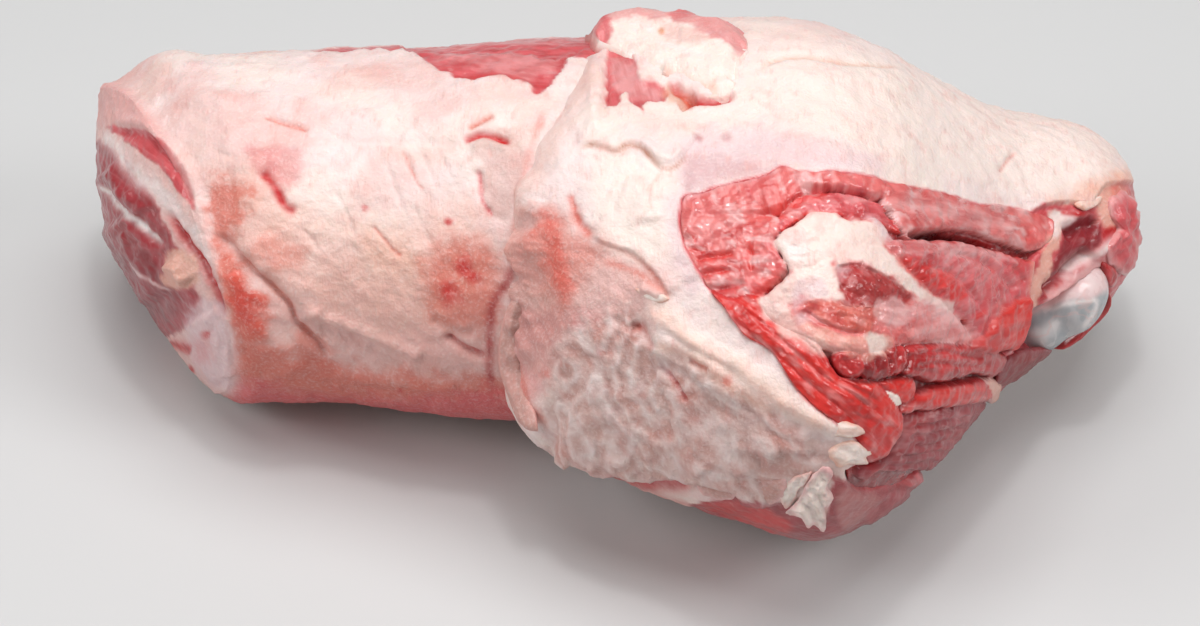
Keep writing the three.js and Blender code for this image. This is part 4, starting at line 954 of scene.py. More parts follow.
class Skin(Surface):
    """A closed surface over a base: rings of q by turns round it, crowded towards the open side."""

    def __init__(self, point, rings, around, tone):
        turn = 2 * np.pi * np.arange(around) / around
        q, angle = np.meshgrid(rings[1:-1], turn - OPEN_CROWDING * np.sin(turn - OPEN_ANGLE), indexing="ij")
        self.grid = q.shape
        self.point = point
        self.q = np.append(q.ravel(), rings[[0, -1]])
        self.angle = np.append(angle.ravel(), [0.0, 0.0])
        base = point(self.q, self.angle)
        normal = outward(point, self.q, self.angle)
        self.turned = (normal * unit(EYE - base)).sum(1)
        super().__init__(base, normal, see(base), smooth(self.turned, FACING_FROM, FACING_TO), tone)
        arc = (self.angle + np.pi) % (2 * np.pi) - np.pi
        self.unrolled = np.stack([base[:, 0], ARC_RADIUS * arc], -1)
        self.table = None

    def seat(self, px):
        """The base's point and normal seen at pixels: (q, angle) from a table over the picture, bettered by damped
        least-squares steps on the camera's formula, which stop at the silhouette for pixels past it."""
        if self.table is None:
            self.table = self.lookup()
        cell = np.clip(px / CELL, 0, np.array(self.table.shape[:2]) - 1).astype(int)
        start = self.table[cell[:, 0], cell[:, 1]].T
        q, angle = start
        dq, da = SEAT_Q_STEP, SEAT_TURN_STEP
        for _ in range(SEAT_STEPS):
            here = see(self.point(q, angle))
            by_q = see(self.point(q + dq, angle)) - here
            by_a = see(self.point(q, angle + da)) - here
            qq, aa = ((step ** 2).sum(1) + SEAT_DAMPING for step in (by_q, by_a))
            qa = (by_q * by_a).sum(1)
            q_gap, a_gap = ((step * (px - here)).sum(1) for step in (by_q, by_a))
            scale = qq * aa - qa ** 2
            q = q + dq * np.clip((aa * q_gap - qa * a_gap) / scale, -SEAT_Q_LIMIT, SEAT_Q_LIMIT)
            q = np.clip(q, 0, self.q.max())
            angle = angle + da * np.clip((qq * a_gap - qa * q_gap) / scale, -SEAT_TURN_LIMIT, SEAT_TURN_LIMIT)
        lost = np.linalg.norm(see(self.point(q, angle)) - px, axis=1) > SEAT_MISS
        q, angle = np.where(lost, start, (q, angle))
        return self.point(q, angle), outward(self.point, q, angle)

    def lookup(self):
        """Mean q and angle of the vertices in each cell of the picture; empty cells take their neighbours'."""
        size = (FRAME_SIZE / CELL).astype(int) + 1
        shown = np.flatnonzero(self.turned > SHOWN_FROM)
        code = np.clip(self.px[shown] / CELL, 0, size - 1).astype(int) @ [size[1], 1]
        count = np.bincount(code, minlength=size.prod()).reshape(size).astype(float)
        sums = [np.bincount(code, values[shown], size.prod()).reshape(size) for values in (self.q, self.angle)]
        table = np.stack(sums, -1) / np.maximum(count, 1)[..., None]
        filled = count > 0
        while not filled.all():
            steps = [(1, 0), (-1, 0), (1, 1), (-1, 1)]
            votes = sum(np.roll(filled, *step) for step in steps)
            sums = sum(np.roll(table * filled[..., None], *step) for step in steps)
            means = sums / np.maximum(votes, 1)[..., None]
            fresh = ~filled & (votes > 0)
            table[fresh] = means[fresh]
            filled |= fresh
        return table


class Patch(Surface):
    """A mass of flesh set into an opening of a skin: rings shrink from an outline on the picture to its middle
    on the upper side, and a few rings close it underneath, where a flare widens it and sinks it by degrees."""

    def __init__(self, skin, outline, middle, rings, around, tone, level, depth, flare=0.0):
        line = trail(outline, True, 10)
        edge = spaced(line, around)
        below = np.linspace(0, 1, PATCH_UNDERSIDE + 1)[1:]
        radius = np.append(np.linspace(0, 1, rings), (1 - below) * (1 + 3 * flare * (1 - below)))
        px = (np.array(middle) + radius[1:-1, None, None] * (edge - middle)).reshape(-1, 2)
        px = np.concatenate([px, [middle, middle]])
        self.grid = (len(radius) - 2, around)
        base, normal = skin.seat(px)
        super().__init__(base, normal, px, np.ones(len(px)), tone)
        self.rim, self.middle, self.veil = line, np.array(middle), np.zeros(len(px))
        radius = np.append(np.repeat(radius[1:-1], around), [0, 0])
        self.under = np.append(np.repeat(np.arange(len(radius) // around) >= rings - 1, around), [False, True])
        self.upper = np.where(self.under, 0.0, 1 - smooth(radius, 0.98, 1.0))
        sunk = np.ones(len(radius))
        if flare:
            sunk = np.append(np.zeros(rings - 1), np.minimum(1, 3 * below)[:-1])
            sunk = np.append(np.repeat(sunk, around), [0, 1])
        self.rise = np.where(self.under, -depth * sunk, -level)

    def bulge(self, bulges, tones):
        """Bulges: each rises by h*(b + (1 - b)*(1 - (1 - d/round)^2)^(1/2)), b being BULGE_BASE and d the depth
        inside its outline, which runs on past the patch's rim where it meets it. The highest one shows, with its
        tones and grain."""
        top = np.zeros(len(self.rise))
        for number, bulge in enumerate(bulges):
            outline = trail(bulge.outline, True, 5)
            at_rim, distance, _, _ = near(outline, self.rim, RIM_REACH)
            out = outline[at_rim] - self.middle
            past = RIM_OVERRUN * (distance < RIM_REACH) / np.linalg.norm(out, axis=1)
            outline[at_rim] += past[:, None] * out
            index, depth = within(self.px, outline, 1.0)
            depth = depth + bulge.ragged * self.ragged[index]
            share = np.clip(depth / bulge.round, 0, 1)
            height = bulge.rise * (BULGE_BASE + (1 - BULGE_BASE) * np.sqrt(1 - (1 - share) ** 2))
            taller = (depth > 0) & (height > top[index])
            index, depth, height = index[taller], depth[taller], height[taller]
            top[index] = height
            grain = grained(self.px[index], bulge.grain, number)
            streaks = noise(grain * STREAK, 2.4, number) + 0.7 * noise(self.base[index], 6.0, number + 50)
            edge = 0.7 * (1 - smooth(depth, 0.5, bulge.fringe)) + 0.6 * smooth(streaks, 0.0, 0.9)
            tone = tones[bulge.tone]
            self.tint[index] = tone + np.clip(edge, 0, 1)[:, None] * (tones[bulge.edge] - tone)
            self.lean[index] = bulge.lean
            self.wet[index] = bulge.wet
            # Its share of painted glints, tinted pale later.
            self.veil[index] = bulge.veil
            self.grain[index] = grain
        self.rise += self.upper * top


def ring_faces(rings, around):
    """Quads between neighbouring rings and fans to the two poles, whose vertices come last."""
    i, j = np.meshgrid(np.arange(rings - 1), np.arange(around), indexing="ij")
    k = (j + 1) % around
    ring, after = i * around, (i + 1) * around
    quads = np.stack([ring + j, ring + k, after + k, after + j], -1).reshape(-1, 4)
    j = np.arange(around)
    k = (j + 1) % around
    start = np.stack([np.full(around, rings * around), k, j], -1)
    last = (rings - 1) * around
    end = np.stack([np.full(around, rings * around + 1), last + j, last + k], -1)
    return quads.tolist() + start.tolist() + end.tolist()


# Pieces laid on the body

def laid_paint(points, grain, tones, piece, edge_share, seed):
    """Paint of a laid piece: its tone, with its edge's tone towards the outline and in streaks along the grain."""
    streaks = noise(grain * STREAK, 2.6, seed) + 0.6 * noise(points, 7.0, seed + 1)
    share = np.clip(0.75 * smooth(edge_share, 0.6, 1.05) + 0.55 * smooth(streaks, 0.0, 0.9), 0, 1)
    return tones[piece.tone] + share[:, None] * (tones[piece.edge] - tones[piece.tone])


class Bridge:
    """A seat that passes from an upper skin to a lower one between two rows of the picture, where it turns to
    the front and stands off."""

    def __init__(self, upper, lower, top, bottom):
        self.skins, self.rows = (upper, lower), (top, bottom)

    def seat(self, px):
        share = smooth(px[:, 1], *self.rows)[:, None]
        (place, normal), (low_place, _) = (skin.seat(px) for skin in self.skins)
        place = place + share * (low_place + ROLL_STAND * ROLL_FRONT - place)
        return place, unit(normal + share * (ROLL_FRONT - normal))


def evened(rows, reach=14):
    """Rows averaged with their neighbours on both sides, twice."""
    for _ in range(2):
        sums = np.cumsum(np.pad(rows, ((reach + 1, reach), (0, 0)), "reflect", reflect_type="odd"), axis=0)
        rows = (sums[2 * reach + 1:] - sums[:-2 * reach - 1]) / (2 * reach + 1)
    return rows


def roll_piece(skin, roll, seed):
    """A bundle: an oval profile carried along its line on the body; its half width follows the given values;
    both axes close at the ends by (1 - (2t - 1)^6)^(1/2); lumps run along it."""
    line = trail(roll.line, steps=12)
    t = (1 - np.cos(np.pi * np.linspace(0, 1, ROLL_RINGS + 2))) / 2
    path = np.stack([np.interp(t, np.linspace(0, 1, len(line)), line[:, k]) for k in range(2)], -1)
    place, normal = (evened(value) for value in skin.seat(path))
    way = np.gradient(place, axis=0)
    across = np.cross(normal, unit(way))
    closing = np.sqrt(np.clip(1 - (2 * t - 1) ** 6, 0, 1))
    knots = np.linspace(0, 1, len(roll.widths))
    width = through(knots, np.array(roll.widths, float), t) * MM_PER_PX * closing
    height = roll.rise * closing
    phi = 2 * np.pi * np.arange(ROLL_AROUND) / ROLL_AROUND
    points = (place[:, None] + across[:, None] * (width[:, None] * np.cos(phi))[..., None]
              + normal[:, None] * (height[:, None] * np.sin(phi))[..., None])
    length = np.cumsum(np.linalg.norm(way, axis=1))
    grain = np.stack(np.broadcast_arrays(length[:, None], width[:, None] * np.cos(phi), BUNDLE_STEP * seed), -1)
    lump = roll.lump * (0.7 * noise(points, 5.0, seed) + 0.5 * noise(grain * LUMP_STRETCH, 2.2, seed + 9, 2))
    lump = lump * height[:, None] / roll.rise * np.maximum(np.sin(phi), 0)
    points = points + normal[:, None] * lump[..., None]
    return closed_rings(points, grain, np.broadcast_to(np.abs(np.cos(phi)), points.shape[:2]))


def flap_piece(skin, flap, seed):
    """A flat lump: rings shrunk from its ragged outline to the middle, raised by (1 - r^3)^(2/5) over the body
    on the upper side and sunk into it on the lower; its free end lifts with the distance along its direction."""
    edge = spaced(trail(flap.outline, True, 10), FLAP_AROUND)
    flat = np.append(edge, np.zeros((FLAP_AROUND, 1)), 1) * MM_PER_PX
    middle = edge.mean(0)
    edge = edge + (edge - middle) * (FLAP_FRAY * noise(flat, FLAP_FRAY_SIZE, seed + 3))[:, None]
    half = np.sin(np.pi / 2 * np.linspace(0, 1, FLAP_RINGS + 1))
    radius = np.append(half, half[-2::-1])
    px = middle + radius[:, None, None] * (edge - middle)
    place, normal = (value.reshape(*px.shape[:2], 3) for value in skin.seat(px.reshape(-1, 2)))
    crown = np.clip(1 - radius ** 3, 0, 1) ** 0.4
    upper = np.arange(len(radius)) <= FLAP_RINGS
    turn = math.radians(flap.free)
    reach = (px - middle) @ [math.cos(turn), math.sin(turn)]
    lift = flap.lift * smooth(reach / np.abs(reach).max(), -0.7, 1.0)
    sink = np.where(lift > 0.4 * flap.lift, FLAP_FREE_DEPTH, FLAP_ROOT_DEPTH) if flap.lift else FLAP_FLAT_DEPTH
    height = np.where(upper[:, None], flap.rise * crown[:, None], -sink * crown[:, None]) + lift
    grain = grained(px, flap.grain, seed)
    lump = flap.lump * (noise(place, 4.0, seed) + 0.6 * noise(grain * LUMP_STRETCH, 2.2, seed + 9, 2))
    points = place + normal * (height + upper[:, None] * lump * crown[:, None])[..., None]
    return closed_rings(points, grain, np.broadcast_to(radius[:, None], points.shape[:2]))


def bone_head(half_length):
    """The bone end: an ellipsoid, x = -L*cos(pi*t), y and z = (half size - pinch)*sin(pi*t) round the turn,
    pinched by a bell at its middle into two knuckles, slightly lumpy, then tipped, swung and put in place."""
    turn = 2 * np.pi * np.arange(BONE_AROUND) / BONE_AROUND
    t, phi = np.meshgrid(np.linspace(0, 1, BONE_RINGS), turn, indexing="ij")
    along, ring = -np.cos(np.pi * t), np.sin(np.pi * t)
    pinch = BONE_PINCH * np.exp(-(along / BONE_PINCH_WIDTH) ** 2)
    depth, height = (BONE_HALF_DEPTH - pinch) * ring, (BONE_HALF_HEIGHT - pinch) * ring
    points = np.stack([half_length * along, depth * np.cos(phi), height * np.sin(phi)], -1)
    points = points + 0.25 * noise(points, 8, 61)[..., None] * points / BONE_HALF_DEPTH
    (cos_r, sin_r), (cos_y, sin_y) = ((math.cos(a), math.sin(a)) for a in (BONE_ROLL, BONE_YAW))
    tip = np.array([[cos_r, 0, -sin_r], [0, 1, 0], [sin_r, 0, cos_r]])
    swing = np.array([[cos_y, -sin_y, 0], [sin_y, cos_y, 0], [0, 0, 1]])
    points = points @ (swing @ tip).T + BONE_PLACE + CENTRING
    points, _, _, faces = closed_rings(points, points, t)
    return points, faces


def closed_rings(points, grain, edge):
    """Rings closed by a pole at each end: the first and last ring shrink to their middles."""
    inner = slice(1, -1)
    poles = [value[[0, -1]].mean(1) for value in (points, grain)]
    flat = [np.concatenate([value[inner].reshape(-1, 3), pole]) for value, pole in zip((points, grain), poles)]
    edges = np.append(edge[inner].ravel(), edge[[0, -1]].mean(1))
    return flat[0], flat[1], edges, ring_faces(points.shape[0] - 2, points.shape[1])


class Plane:
    """A flat seat: the points of a plane through TONGUE_SEAT that the camera sees at pixels."""

    def seat(self, px):
        right, up = ((px - FRAME_SIZE / 2) / FOCAL * [1, -1]).T
        rays = np.stack([right, COS_E + up * SIN_E, up * COS_E - SIN_E], -1)
        reach = (TONGUE_SEAT - EYE) @ TONGUE_NORMAL / (rays @ TONGUE_NORMAL)
        return EYE + rays * reach[:, None], np.tile(TONGUE_NORMAL, (len(px), 1))


# Materials

class Field:
    """A shader socket as a value: arithmetic on it adds Math nodes."""

    def __init__(self, tree, socket=None):
        self.tree = tree
        self.socket = socket

    def node(self, kind, settings=None, output=0, **values):
        """A node of any kind: its settings first, then the values or links of its sockets, named with _ for a
        space or by number as _0."""
        made = self.tree.nodes.new(kind)
        for name, value in (settings or {}).items():
            setattr(made, name, value)
        for name, value in values.items():
            key = int(name[1:]) if name[0] == "_" else name.replace("_", " ")
            socket = made.inputs[key]
            if isinstance(value, Field):
                self.tree.links.new(value.socket, socket)
            else:
                socket.default_value = value
        return Field(self.tree, made.outputs[output])

    def maths(self, operation, first, second=0.0):
        return self.node("ShaderNodeMath", {"operation": operation}, _0=first, _1=second)

    def __add__(self, other):
        return self.maths("ADD", self, other)

    def __radd__(self, other):
        return self.maths("ADD", other, self)

    def __sub__(self, other):
        return self.maths("SUBTRACT", self, other)

    def __rsub__(self, other):
        return self.maths("SUBTRACT", other, self)

    def __mul__(self, other):
        return self.maths("MULTIPLY", self, other)

    def __rmul__(self, other):
        return self.maths("MULTIPLY", other, self)

    def __abs__(self):
        return self.maths("ABSOLUTE", self)

    def attribute(self, name, output):
        """An attribute of the vertices: output 0 for a colour, 1 for a vector and 2 for a number."""
        return self.node("ShaderNodeAttribute", {"attribute_name": name}, output)

    def place(self):
        """Object coordinates in mm."""
        return self.node("ShaderNodeTexCoord", None, 3).scaled((1 / MM,) * 3)

    def ramp(self, low, high):
        """0 below low and 1 above high, smoothly."""
        return self.node("ShaderNodeMapRange", {"interpolation_type": "SMOOTHSTEP"},
                         Value=self, From_Min=low, From_Max=high)

    def mix(self, other, share, blend="MIX"):
        """This colour with a share of another."""
        return self.node("ShaderNodeMix", {"data_type": "RGBA", "blend_type": blend}, 2,
                         _0=share, _6=self, _7=other)

    def scaled(self, factors):
        """This vector, each part multiplied by its factor."""
        return self.node("ShaderNodeVectorMath", {"operation": "MULTIPLY"}, _0=self, _1=factors)

    def noise(self, size, detail=2.0, rough=0.5):
        """Noise over this vector, in the vector's own unit."""
        return self.node("ShaderNodeTexNoise", Vector=self, Scale=1 / size, Detail=detail, Roughness=rough)


def new_material(name):
    """An empty material and the value that starts its expressions."""
    material = bpy.data.materials.new(name)
    material.use_nodes = True
    material.node_tree.nodes.clear()
    return material, Field(material.node_tree)


def finish_material(start, shader):
    """Joins the shader to the material's output."""
    output = start.tree.nodes.new("ShaderNodeOutputMaterial")
    start.tree.links.new(shader.socket, output.inputs["Surface"])


# Flesh: stretch of the fibres along the grain, what a dark fibre does to the tint, a gamma that deepens all
# tones, and the depth of the finest relief in metres.
FIBRE_STRETCH = (0.12, 1.0, 1.0)
DARK_FIBRE = (0.86, 0.66, 0.66, 1)
FLESH_GAMMA = 1.32
BUMP_DEPTH = 0.0006


def flesh_material(tones):
    """Fat and lean in one: the vertices' tint, with fine cells and wrinkles in the fat, and with fibres,
    smears, pale sinew lines and painted glints along the grain in the wet lean."""
    material, start = new_material("raw_flesh")
    tint = start.attribute("tint", 0)
    lean = start.attribute("lean", 2)
    wet = start.attribute("wet", 2)
    grain = start.attribute("grain", 1)
    place = start.place()

    fibres = grain.scaled(FIBRE_STRETCH).noise(0.9, 3.0, 0.55)
    bundles = grain.scaled(FIBRE_STRETCH).noise(3.2, 2.0)
    sinew = 1 - abs(bundles - 0.5).ramp(0.0, 0.025)
    glint_flecks = grain.scaled((0.5, 1.0, 1.0)).noise(1.5, 3.0).ramp(0.62, 0.72)
    folds = place.noise(3.4, 1.5, 0.4)
    smears = grain.scaled((0.4, 1.0, 1.0)).noise(2.6, 3.0, 0.5)
    cells = place.noise(0.8, 2.0)
    clouds = place.noise(5.0, 3.0)
    wrinkles = (place.scaled((1.0, 0.25, 0.25)).noise(1.3, 3.0, 0.6) - 0.5) * clouds.ramp(0.4, 0.62)

    dark = tint.mix(DARK_FIBRE, 1.0, "MULTIPLY")
    red = dark.mix(tint, (fibres * 0.25 + smears * 0.75).ramp(0.36, 0.58))
    # Painted glints: pale specks along the grain stand in for the shine of the wet lean.
    red = red.mix((*tones["pale"], 1), sinew * 0.09 + glint_flecks * 0.26)
    fat = tint.mix((*tones["white"], 1), cells.ramp(0.45, 0.75) * 0.24)
    fat = fat.mix((*tones["pink"], 1), clouds.ramp(0.5, 0.75) * 0.24 + (1 - wrinkles.ramp(-0.2, 0.0)) * 0.25)
    colour = start.node("ShaderNodeGamma", Color=fat.mix(red, lean), Gamma=FLESH_GAMMA)

    relief = lean * (fibres * 0.15 + folds * 1.6) + (1 - lean) * (cells * 0.5 + clouds * 0.7 + wrinkles * 0.9)
    bump = start.node("ShaderNodeBump", Height=relief, Strength=0.75, Distance=BUMP_DEPTH)
    roughness = 0.56 - wet * 0.34 + (clouds - 0.5) * 0.3
    shader = start.node("ShaderNodeBsdfPrincipled", Base_Color=colour, Roughness=roughness, Normal=bump,
                        Subsurface_Weight=0.12, Subsurface_Radius=(1.0, 0.32, 0.2), Subsurface_Scale=0.0012,
                        Specular_IOR_Level=0.3, Coat_Weight=wet * lean * 0.75 + 0.04, Coat_Roughness=0.1)
    finish_material(start, shader)
    return material


def cartilage_material(tones):
    """Wet cartilage: blue-grey, clouded with white, with a few pink streaks, smooth and glossy."""
    material, start = new_material("cartilage")
    place = start.place()
    clouds = place.scaled((1, 1, 0.5)).noise(7.0, 3.0)
    streaks = 1 - abs(place.scaled((0.3, 1, 1)).noise(6.0, 3.0) - 0.5).ramp(0.0, 0.03)
    colour = start.attribute("tint", 0).mix((*tones["white"], 1), clouds.ramp(0.42, 0.7) * 0.5)
    colour = colour.mix((*tones["pink"], 1), streaks * 0.3)
    bump = start.node("ShaderNodeBump", Height=clouds, Strength=0.15, Distance=BUMP_DEPTH)
    shader = start.node("ShaderNodeBsdfPrincipled",
                        Base_Color=colour, Roughness=0.22 + clouds * 0.1, Normal=bump,
                        Subsurface_Weight=0.3, Subsurface_Radius=(0.8, 0.7, 0.6), Subsurface_Scale=0.002,
                        Coat_Weight=0.4, Coat_Roughness=0.08)
    finish_material(start, shader)
    return material


# Putting meshes into the scene

def add_piece(name, points, faces, material, slot, **attributes):
    """A mesh piece from points in mm, with float, vector and colour attributes at its vertices."""
    mesh = bpy.data.meshes.new(name)
    mesh.from_pydata((points * MM).tolist(), [], faces)
    kinds = {"tint": ("FLOAT_COLOR", "color"), "grain": ("FLOAT_VECTOR", "vector")}
    for key, value in attributes.items():
        kind, field = kinds.get(key, ("FLOAT", "value"))
        if key == "tint":
            value = np.append(np.clip(value, 0, 1), np.ones((len(value), 1)), 1)
        layer = mesh.attributes.new(key, kind, "POINT")
        layer.data.foreach_set(field, np.ascontiguousarray(value, np.float32).ravel())
    mesh.polygons.foreach_set("use_smooth", np.ones(len(mesh.polygons), bool))
    mesh.materials.append(material)
    mesh.update()
    piece = bpy.data.objects.new(name, mesh)
    bpy.context.scene.collection.objects.link(piece)
    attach(piece, "root")
    return piece


def tones_of(context):
    """The colours of the panel as arrays."""
    group = context.scene.lamb_neck_colours
    return {name: np.array(getattr(group, name)) for name in group.__annotations__}


def flesh(context):
    """The flesh material, made once."""
    return bpy.data.materials.get("raw_flesh") or flesh_material(tones_of(context))


SKINS = {}


def body_skin(context):
    """The body's skin, shared by the pieces that lie on it."""
    if "body" not in SKINS:
        t = np.linspace(0, 1, BODY_RINGS)
        rings = (1 - BODY_END_CROWDING) * t + BODY_END_CROWDING * (1 - np.cos(np.pi * t)) / 2
        SKINS["body"] = Skin(body_point, rings, BODY_AROUND, tones_of(context)["fat"])
    return SKINS["body"]


class LambNeckSizes(bpy.types.PropertyGroup):
    """Sizes that a maker would change."""
    relief: FloatProperty(name="Relief", description="Height of folds and grooves, as a share of the real one",
                          default=1.0, min=0.0, max=2.0, subtype="FACTOR")
    fat_lumps: FloatProperty(name="Fat Lumps", description="Height of the small lumps of the fat",
                             default=0.00045, min=0.0, max=0.003, unit="LENGTH", precision=5)
    bone_length: FloatProperty(name="Bone End Length", description="Length of the bone end's head",
                               default=0.032, min=0.02, max=0.05, unit="LENGTH")
    floor_size: FloatProperty(name="Floor Size", description="Width of the floor",
                              default=6.0, min=1.0, max=20.0, unit="LENGTH")


def colour(name, description, default):
    """A colour of the panel."""
    return FloatVectorProperty(name=name, description=description, default=default,
                               min=0, max=1, subtype="COLOR", size=3)


class LambNeckColours(bpy.types.PropertyGroup):
    """Colours of the flesh, linear."""
    fat: colour("Fat", "The fat cover", (0.87, 0.74, 0.72))
    cream: colour("Cream Fat", "Thick clean fat", (0.9, 0.785, 0.73))
    white: colour("White", "Fascia and sinew", (0.9, 0.82, 0.8))
    # Pale also gives the painted glints and sheen on the lean.
    pale: colour("Pale Flecks", "Flecks of fat in the lean", (0.84, 0.56, 0.55))
    pink: colour("Pink Fat", "Fat over lean", (0.78, 0.47, 0.43))
    peach: colour("Peach Fat", "Warm fat", (0.84, 0.54, 0.45))
    salmon: colour("Salmon", "Fat tinged with blood", (0.71, 0.22, 0.165))
    coral: colour("Coral", "Fat soaked with blood", (0.76, 0.18, 0.135))
    tan: colour("Tan", "Shade under a torn edge", (0.5, 0.17, 0.07))
    flush: colour("Flushed Lean", "Lean under a veil of fat", (0.79, 0.26, 0.25))
    amber: colour("Amber", "Light through a thin edge", (0.74, 0.38, 0.24))
    lilac: colour("Lilac", "Membrane over lean", (0.77, 0.6, 0.62))
    grey: colour("Grey Membrane", "Dry membrane of the apron", (0.63, 0.4, 0.36))
    rose: colour("Rose Lean", "Lean under a thin membrane", (0.72, 0.185, 0.2))
    lean: colour("Lean", "Cut lean", (0.62, 0.085, 0.088))
    bright: colour("Bright Lean", "Fresh cut lean", (0.76, 0.085, 0.072))
    mauve: colour("Mauve Lean", "Lean that has begun to dry", (0.47, 0.085, 0.1))
    grape: colour("Grape Lean", "Dark drying lean", (0.35, 0.058, 0.072))
    brown: colour("Brown Lean", "Dry lean", (0.47, 0.08, 0.078))
    deep: colour("Deep Lean", "Wet lean in a hollow", (0.36, 0.035, 0.04))
    # Dark is painted shade, for the bottoms of slits and grooves.
    dark: colour("Dark", "The bottom of a slit", (0.12, 0.015, 0.018))
    blood: colour("Blood", "Clots and nicks", (0.62, 0.03, 0.035))
    cartilage: colour("Cartilage", "The cap of the bone end", (0.36, 0.38, 0.40))
    floor: colour("Floor", "The floor", (0.6, 0.6, 0.6))


class LAMBNECK_OT_barrel(bpy.types.Operator):
    """Build the fat-covered barrel with its cut end"""
    bl_idname = "lamb_neck.barrel"
    bl_label = "Barrel"

    def execute(self, context):
        sizes, tones = context.scene.lamb_neck_sizes, tones_of(context)
        cap = np.sin(np.pi / 2 * np.linspace(0, 1, CAP_RINGS))
        rim, side = np.linspace(0, RIM_SHARE, RIM_RINGS), np.linspace(RIM_SHARE, 1, SIDE_RINGS)
        rings = np.concatenate([cap, 1 + rim[1:], 1 + side[1:]])
        skin = SKINS["barrel"] = Skin(barrel_point, rings, BARREL_AROUND, tones["fat"])
        skin.normal[-2] = [-1, 0, 0]
        on_face = 1 - smooth(skin.q, 0.99, 1.03)
        skin.mottle(tones, "cream", 22, 0.6, 11)
        skin.mottle(tones, "pink", 30, 0.4, 12)
        skin.mottle(tones, "salmon", 14, 0.16, 13)
        skin.tinge(0.7 * tones["pink"] + 0.3 * tones["white"], on_face)
        skin.shape(BARREL_SHAPES)
        skin.shape(BARREL_BACK, skin.unrolled, (1 - skin.facing) * (1 - on_face))
        skin.paint(BARREL_PAINT, tones, None, skin.facing * (1 - on_face))
        skin.paint(CUT_FACE_PAINT, tones, None, skin.facing * on_face)
        skin.paint(BARREL_BACK_PAINT, tones, skin.unrolled, 1 - on_face)
        skin.rise *= sizes.relief
        skin.rise += sizes.fat_lumps / MM * (noise(skin.base, 9, 21) + 0.6 * noise(skin.base, 3, 22))
        skin.into_scene(context, "meat_barrel", "meat")
        return {"FINISHED"}


class LAMBNECK_OT_body(bpy.types.Operator):
    """Build the thick body with its collar and its open side"""
    bl_idname = "lamb_neck.body"
    bl_label = "Body"

    def execute(self, context):
        sizes, tones = context.scene.lamb_neck_sizes, tones_of(context)
        SKINS.pop("body", None)
        skin = body_skin(context)
        skin.mottle(tones, "cream", 22, 0.8, 31)
        skin.mottle(tones, "pink", 30, 0.3, 32)
        skin.shape(BODY_SHAPES)
        skin.shape(BODY_BACK, skin.unrolled, 1 - skin.facing)
        skin.paint(BODY_PAINT, tones)
        skin.paint(BODY_BACK_PAINT, tones, skin.unrolled, 1 - skin.facing)
        index, amount = skin.weight(Zone("apron", APRON, None, 1, 14, 9))
        on_apron = np.zeros(len(skin.q))
        on_apron[index] = amount
        # The apron: fine pale creases along its grain, whose crests carry a painted highlight, blotches, and
        # flakes, which are terraces of a slow noise with a painted shade at the foot and a painted highlight on the
        # lip.
        creased = noise(grained(skin.px, 35, 0) * [0.4, 1, 1], 2.8, 43)
        crest = on_apron * smooth(1 - 2.2 * np.abs(creased), 0.35, 1.0)
        skin.mottle(tones, "salmon", 11, 0.22, 33, on_apron, 0.05, 0.7)
        skin.mottle(tones, "white", 6, 0.4, 34, on_apron, 0.0, 0.7)
        skin.mottle(tones, "mauve", 5, 0.1, 35, on_apron, 0.1, 0.7)
        # A painted highlight on the crests of the creases.
        skin.tinge(tones["white"], 0.3 * crest)
        level = APRON_TERRACES * noise(skin.base, 15, 45, 1) + 0.35 * noise(skin.base, 5, 46, 1)
        part = level % 1
        shade = on_apron * smooth(part, 0.15, 0.4) * (1 - smooth(part, 0.4, 0.5))
        lip = on_apron * smooth(part, 0.5, 0.65) * (1 - smooth(part, 0.7, 1.0))
        # Painted shade at the foot of each flake and a painted highlight on its lip.
        skin.tinge(tones["grey"] * 0.7, 0.25 * shade)
        skin.tinge(tones["white"], 0.4 * lip)
        skin.rise *= sizes.relief
        lumps = noise(skin.base, 9, 41) + 0.6 * noise(skin.base, 3, 42)
        lumps = lumps + 0.6 * on_apron * noise(skin.base, 5, 44)
        skin.rise += sizes.fat_lumps / MM * lumps + 0.25 * crest
        skin.rise += APRON_TERRACE_HEIGHT * on_apron * (level - part + smooth(part, 0.35, 0.65))
        skin.into_scene(context, "meat_body", "meat")
        return {"FINISHED"}


class LAMBNECK_OT_lean(bpy.types.Operator):
    """Set the muscles and the fat island into the window of lean"""
    bl_idname = "lamb_neck.lean"
    bl_label = "Lean"

    def execute(self, context):
        tones = tones_of(context)
        patch = Patch(body_skin(context), WINDOW, WINDOW_MIDDLE, LEAN_RINGS, LEAN_AROUND, tones["deep"],
                      LEAN_LEVEL, LEAN_DEPTH)
        patch.lean[:] = 1
        patch.wet[:] = LEAN_WETNESS
        patch.bulge(LEAN_BULGES, tones)
        patch.shape(LEAN_CUTS, gate=patch.upper)
        patch.paint(LEAN_PAINT, tones, gate=patch.upper)
        # Painted highlights: pale glints along the grain, up to each bulge's share of glints.
        veil = noise(patch.grain * [0.5, 1, 1], 3.0, 73) + 0.5 * noise(patch.base, 8, 75)
        veil = smooth(veil, 0.05, 0.75) * patch.lean
        gore = smooth(noise(patch.grain * [0.4, 1, 1], 4.6, 74), 0.0, 0.6) * patch.lean
        patch.tinge(tones["lean"], 0.45 * gore)
        patch.tinge(tones["pale"], patch.veil * veil)
        patch.mottle(tones, "pink", 6, 0.4, 77, 1 - patch.lean)
        folds = (0.5 * noise(patch.grain * [0.25, 1, 1], 2.2, 71, 2) + 1.9 * noise(patch.base, 4.5, 72)
                 + 0.8 * noise(patch.base, 2.2, 76))
        patch.rise += patch.upper * (0.08 + 0.2 * patch.lean) * folds
        patch.into_scene(context, "lean_mass")
        return {"FINISHED"}


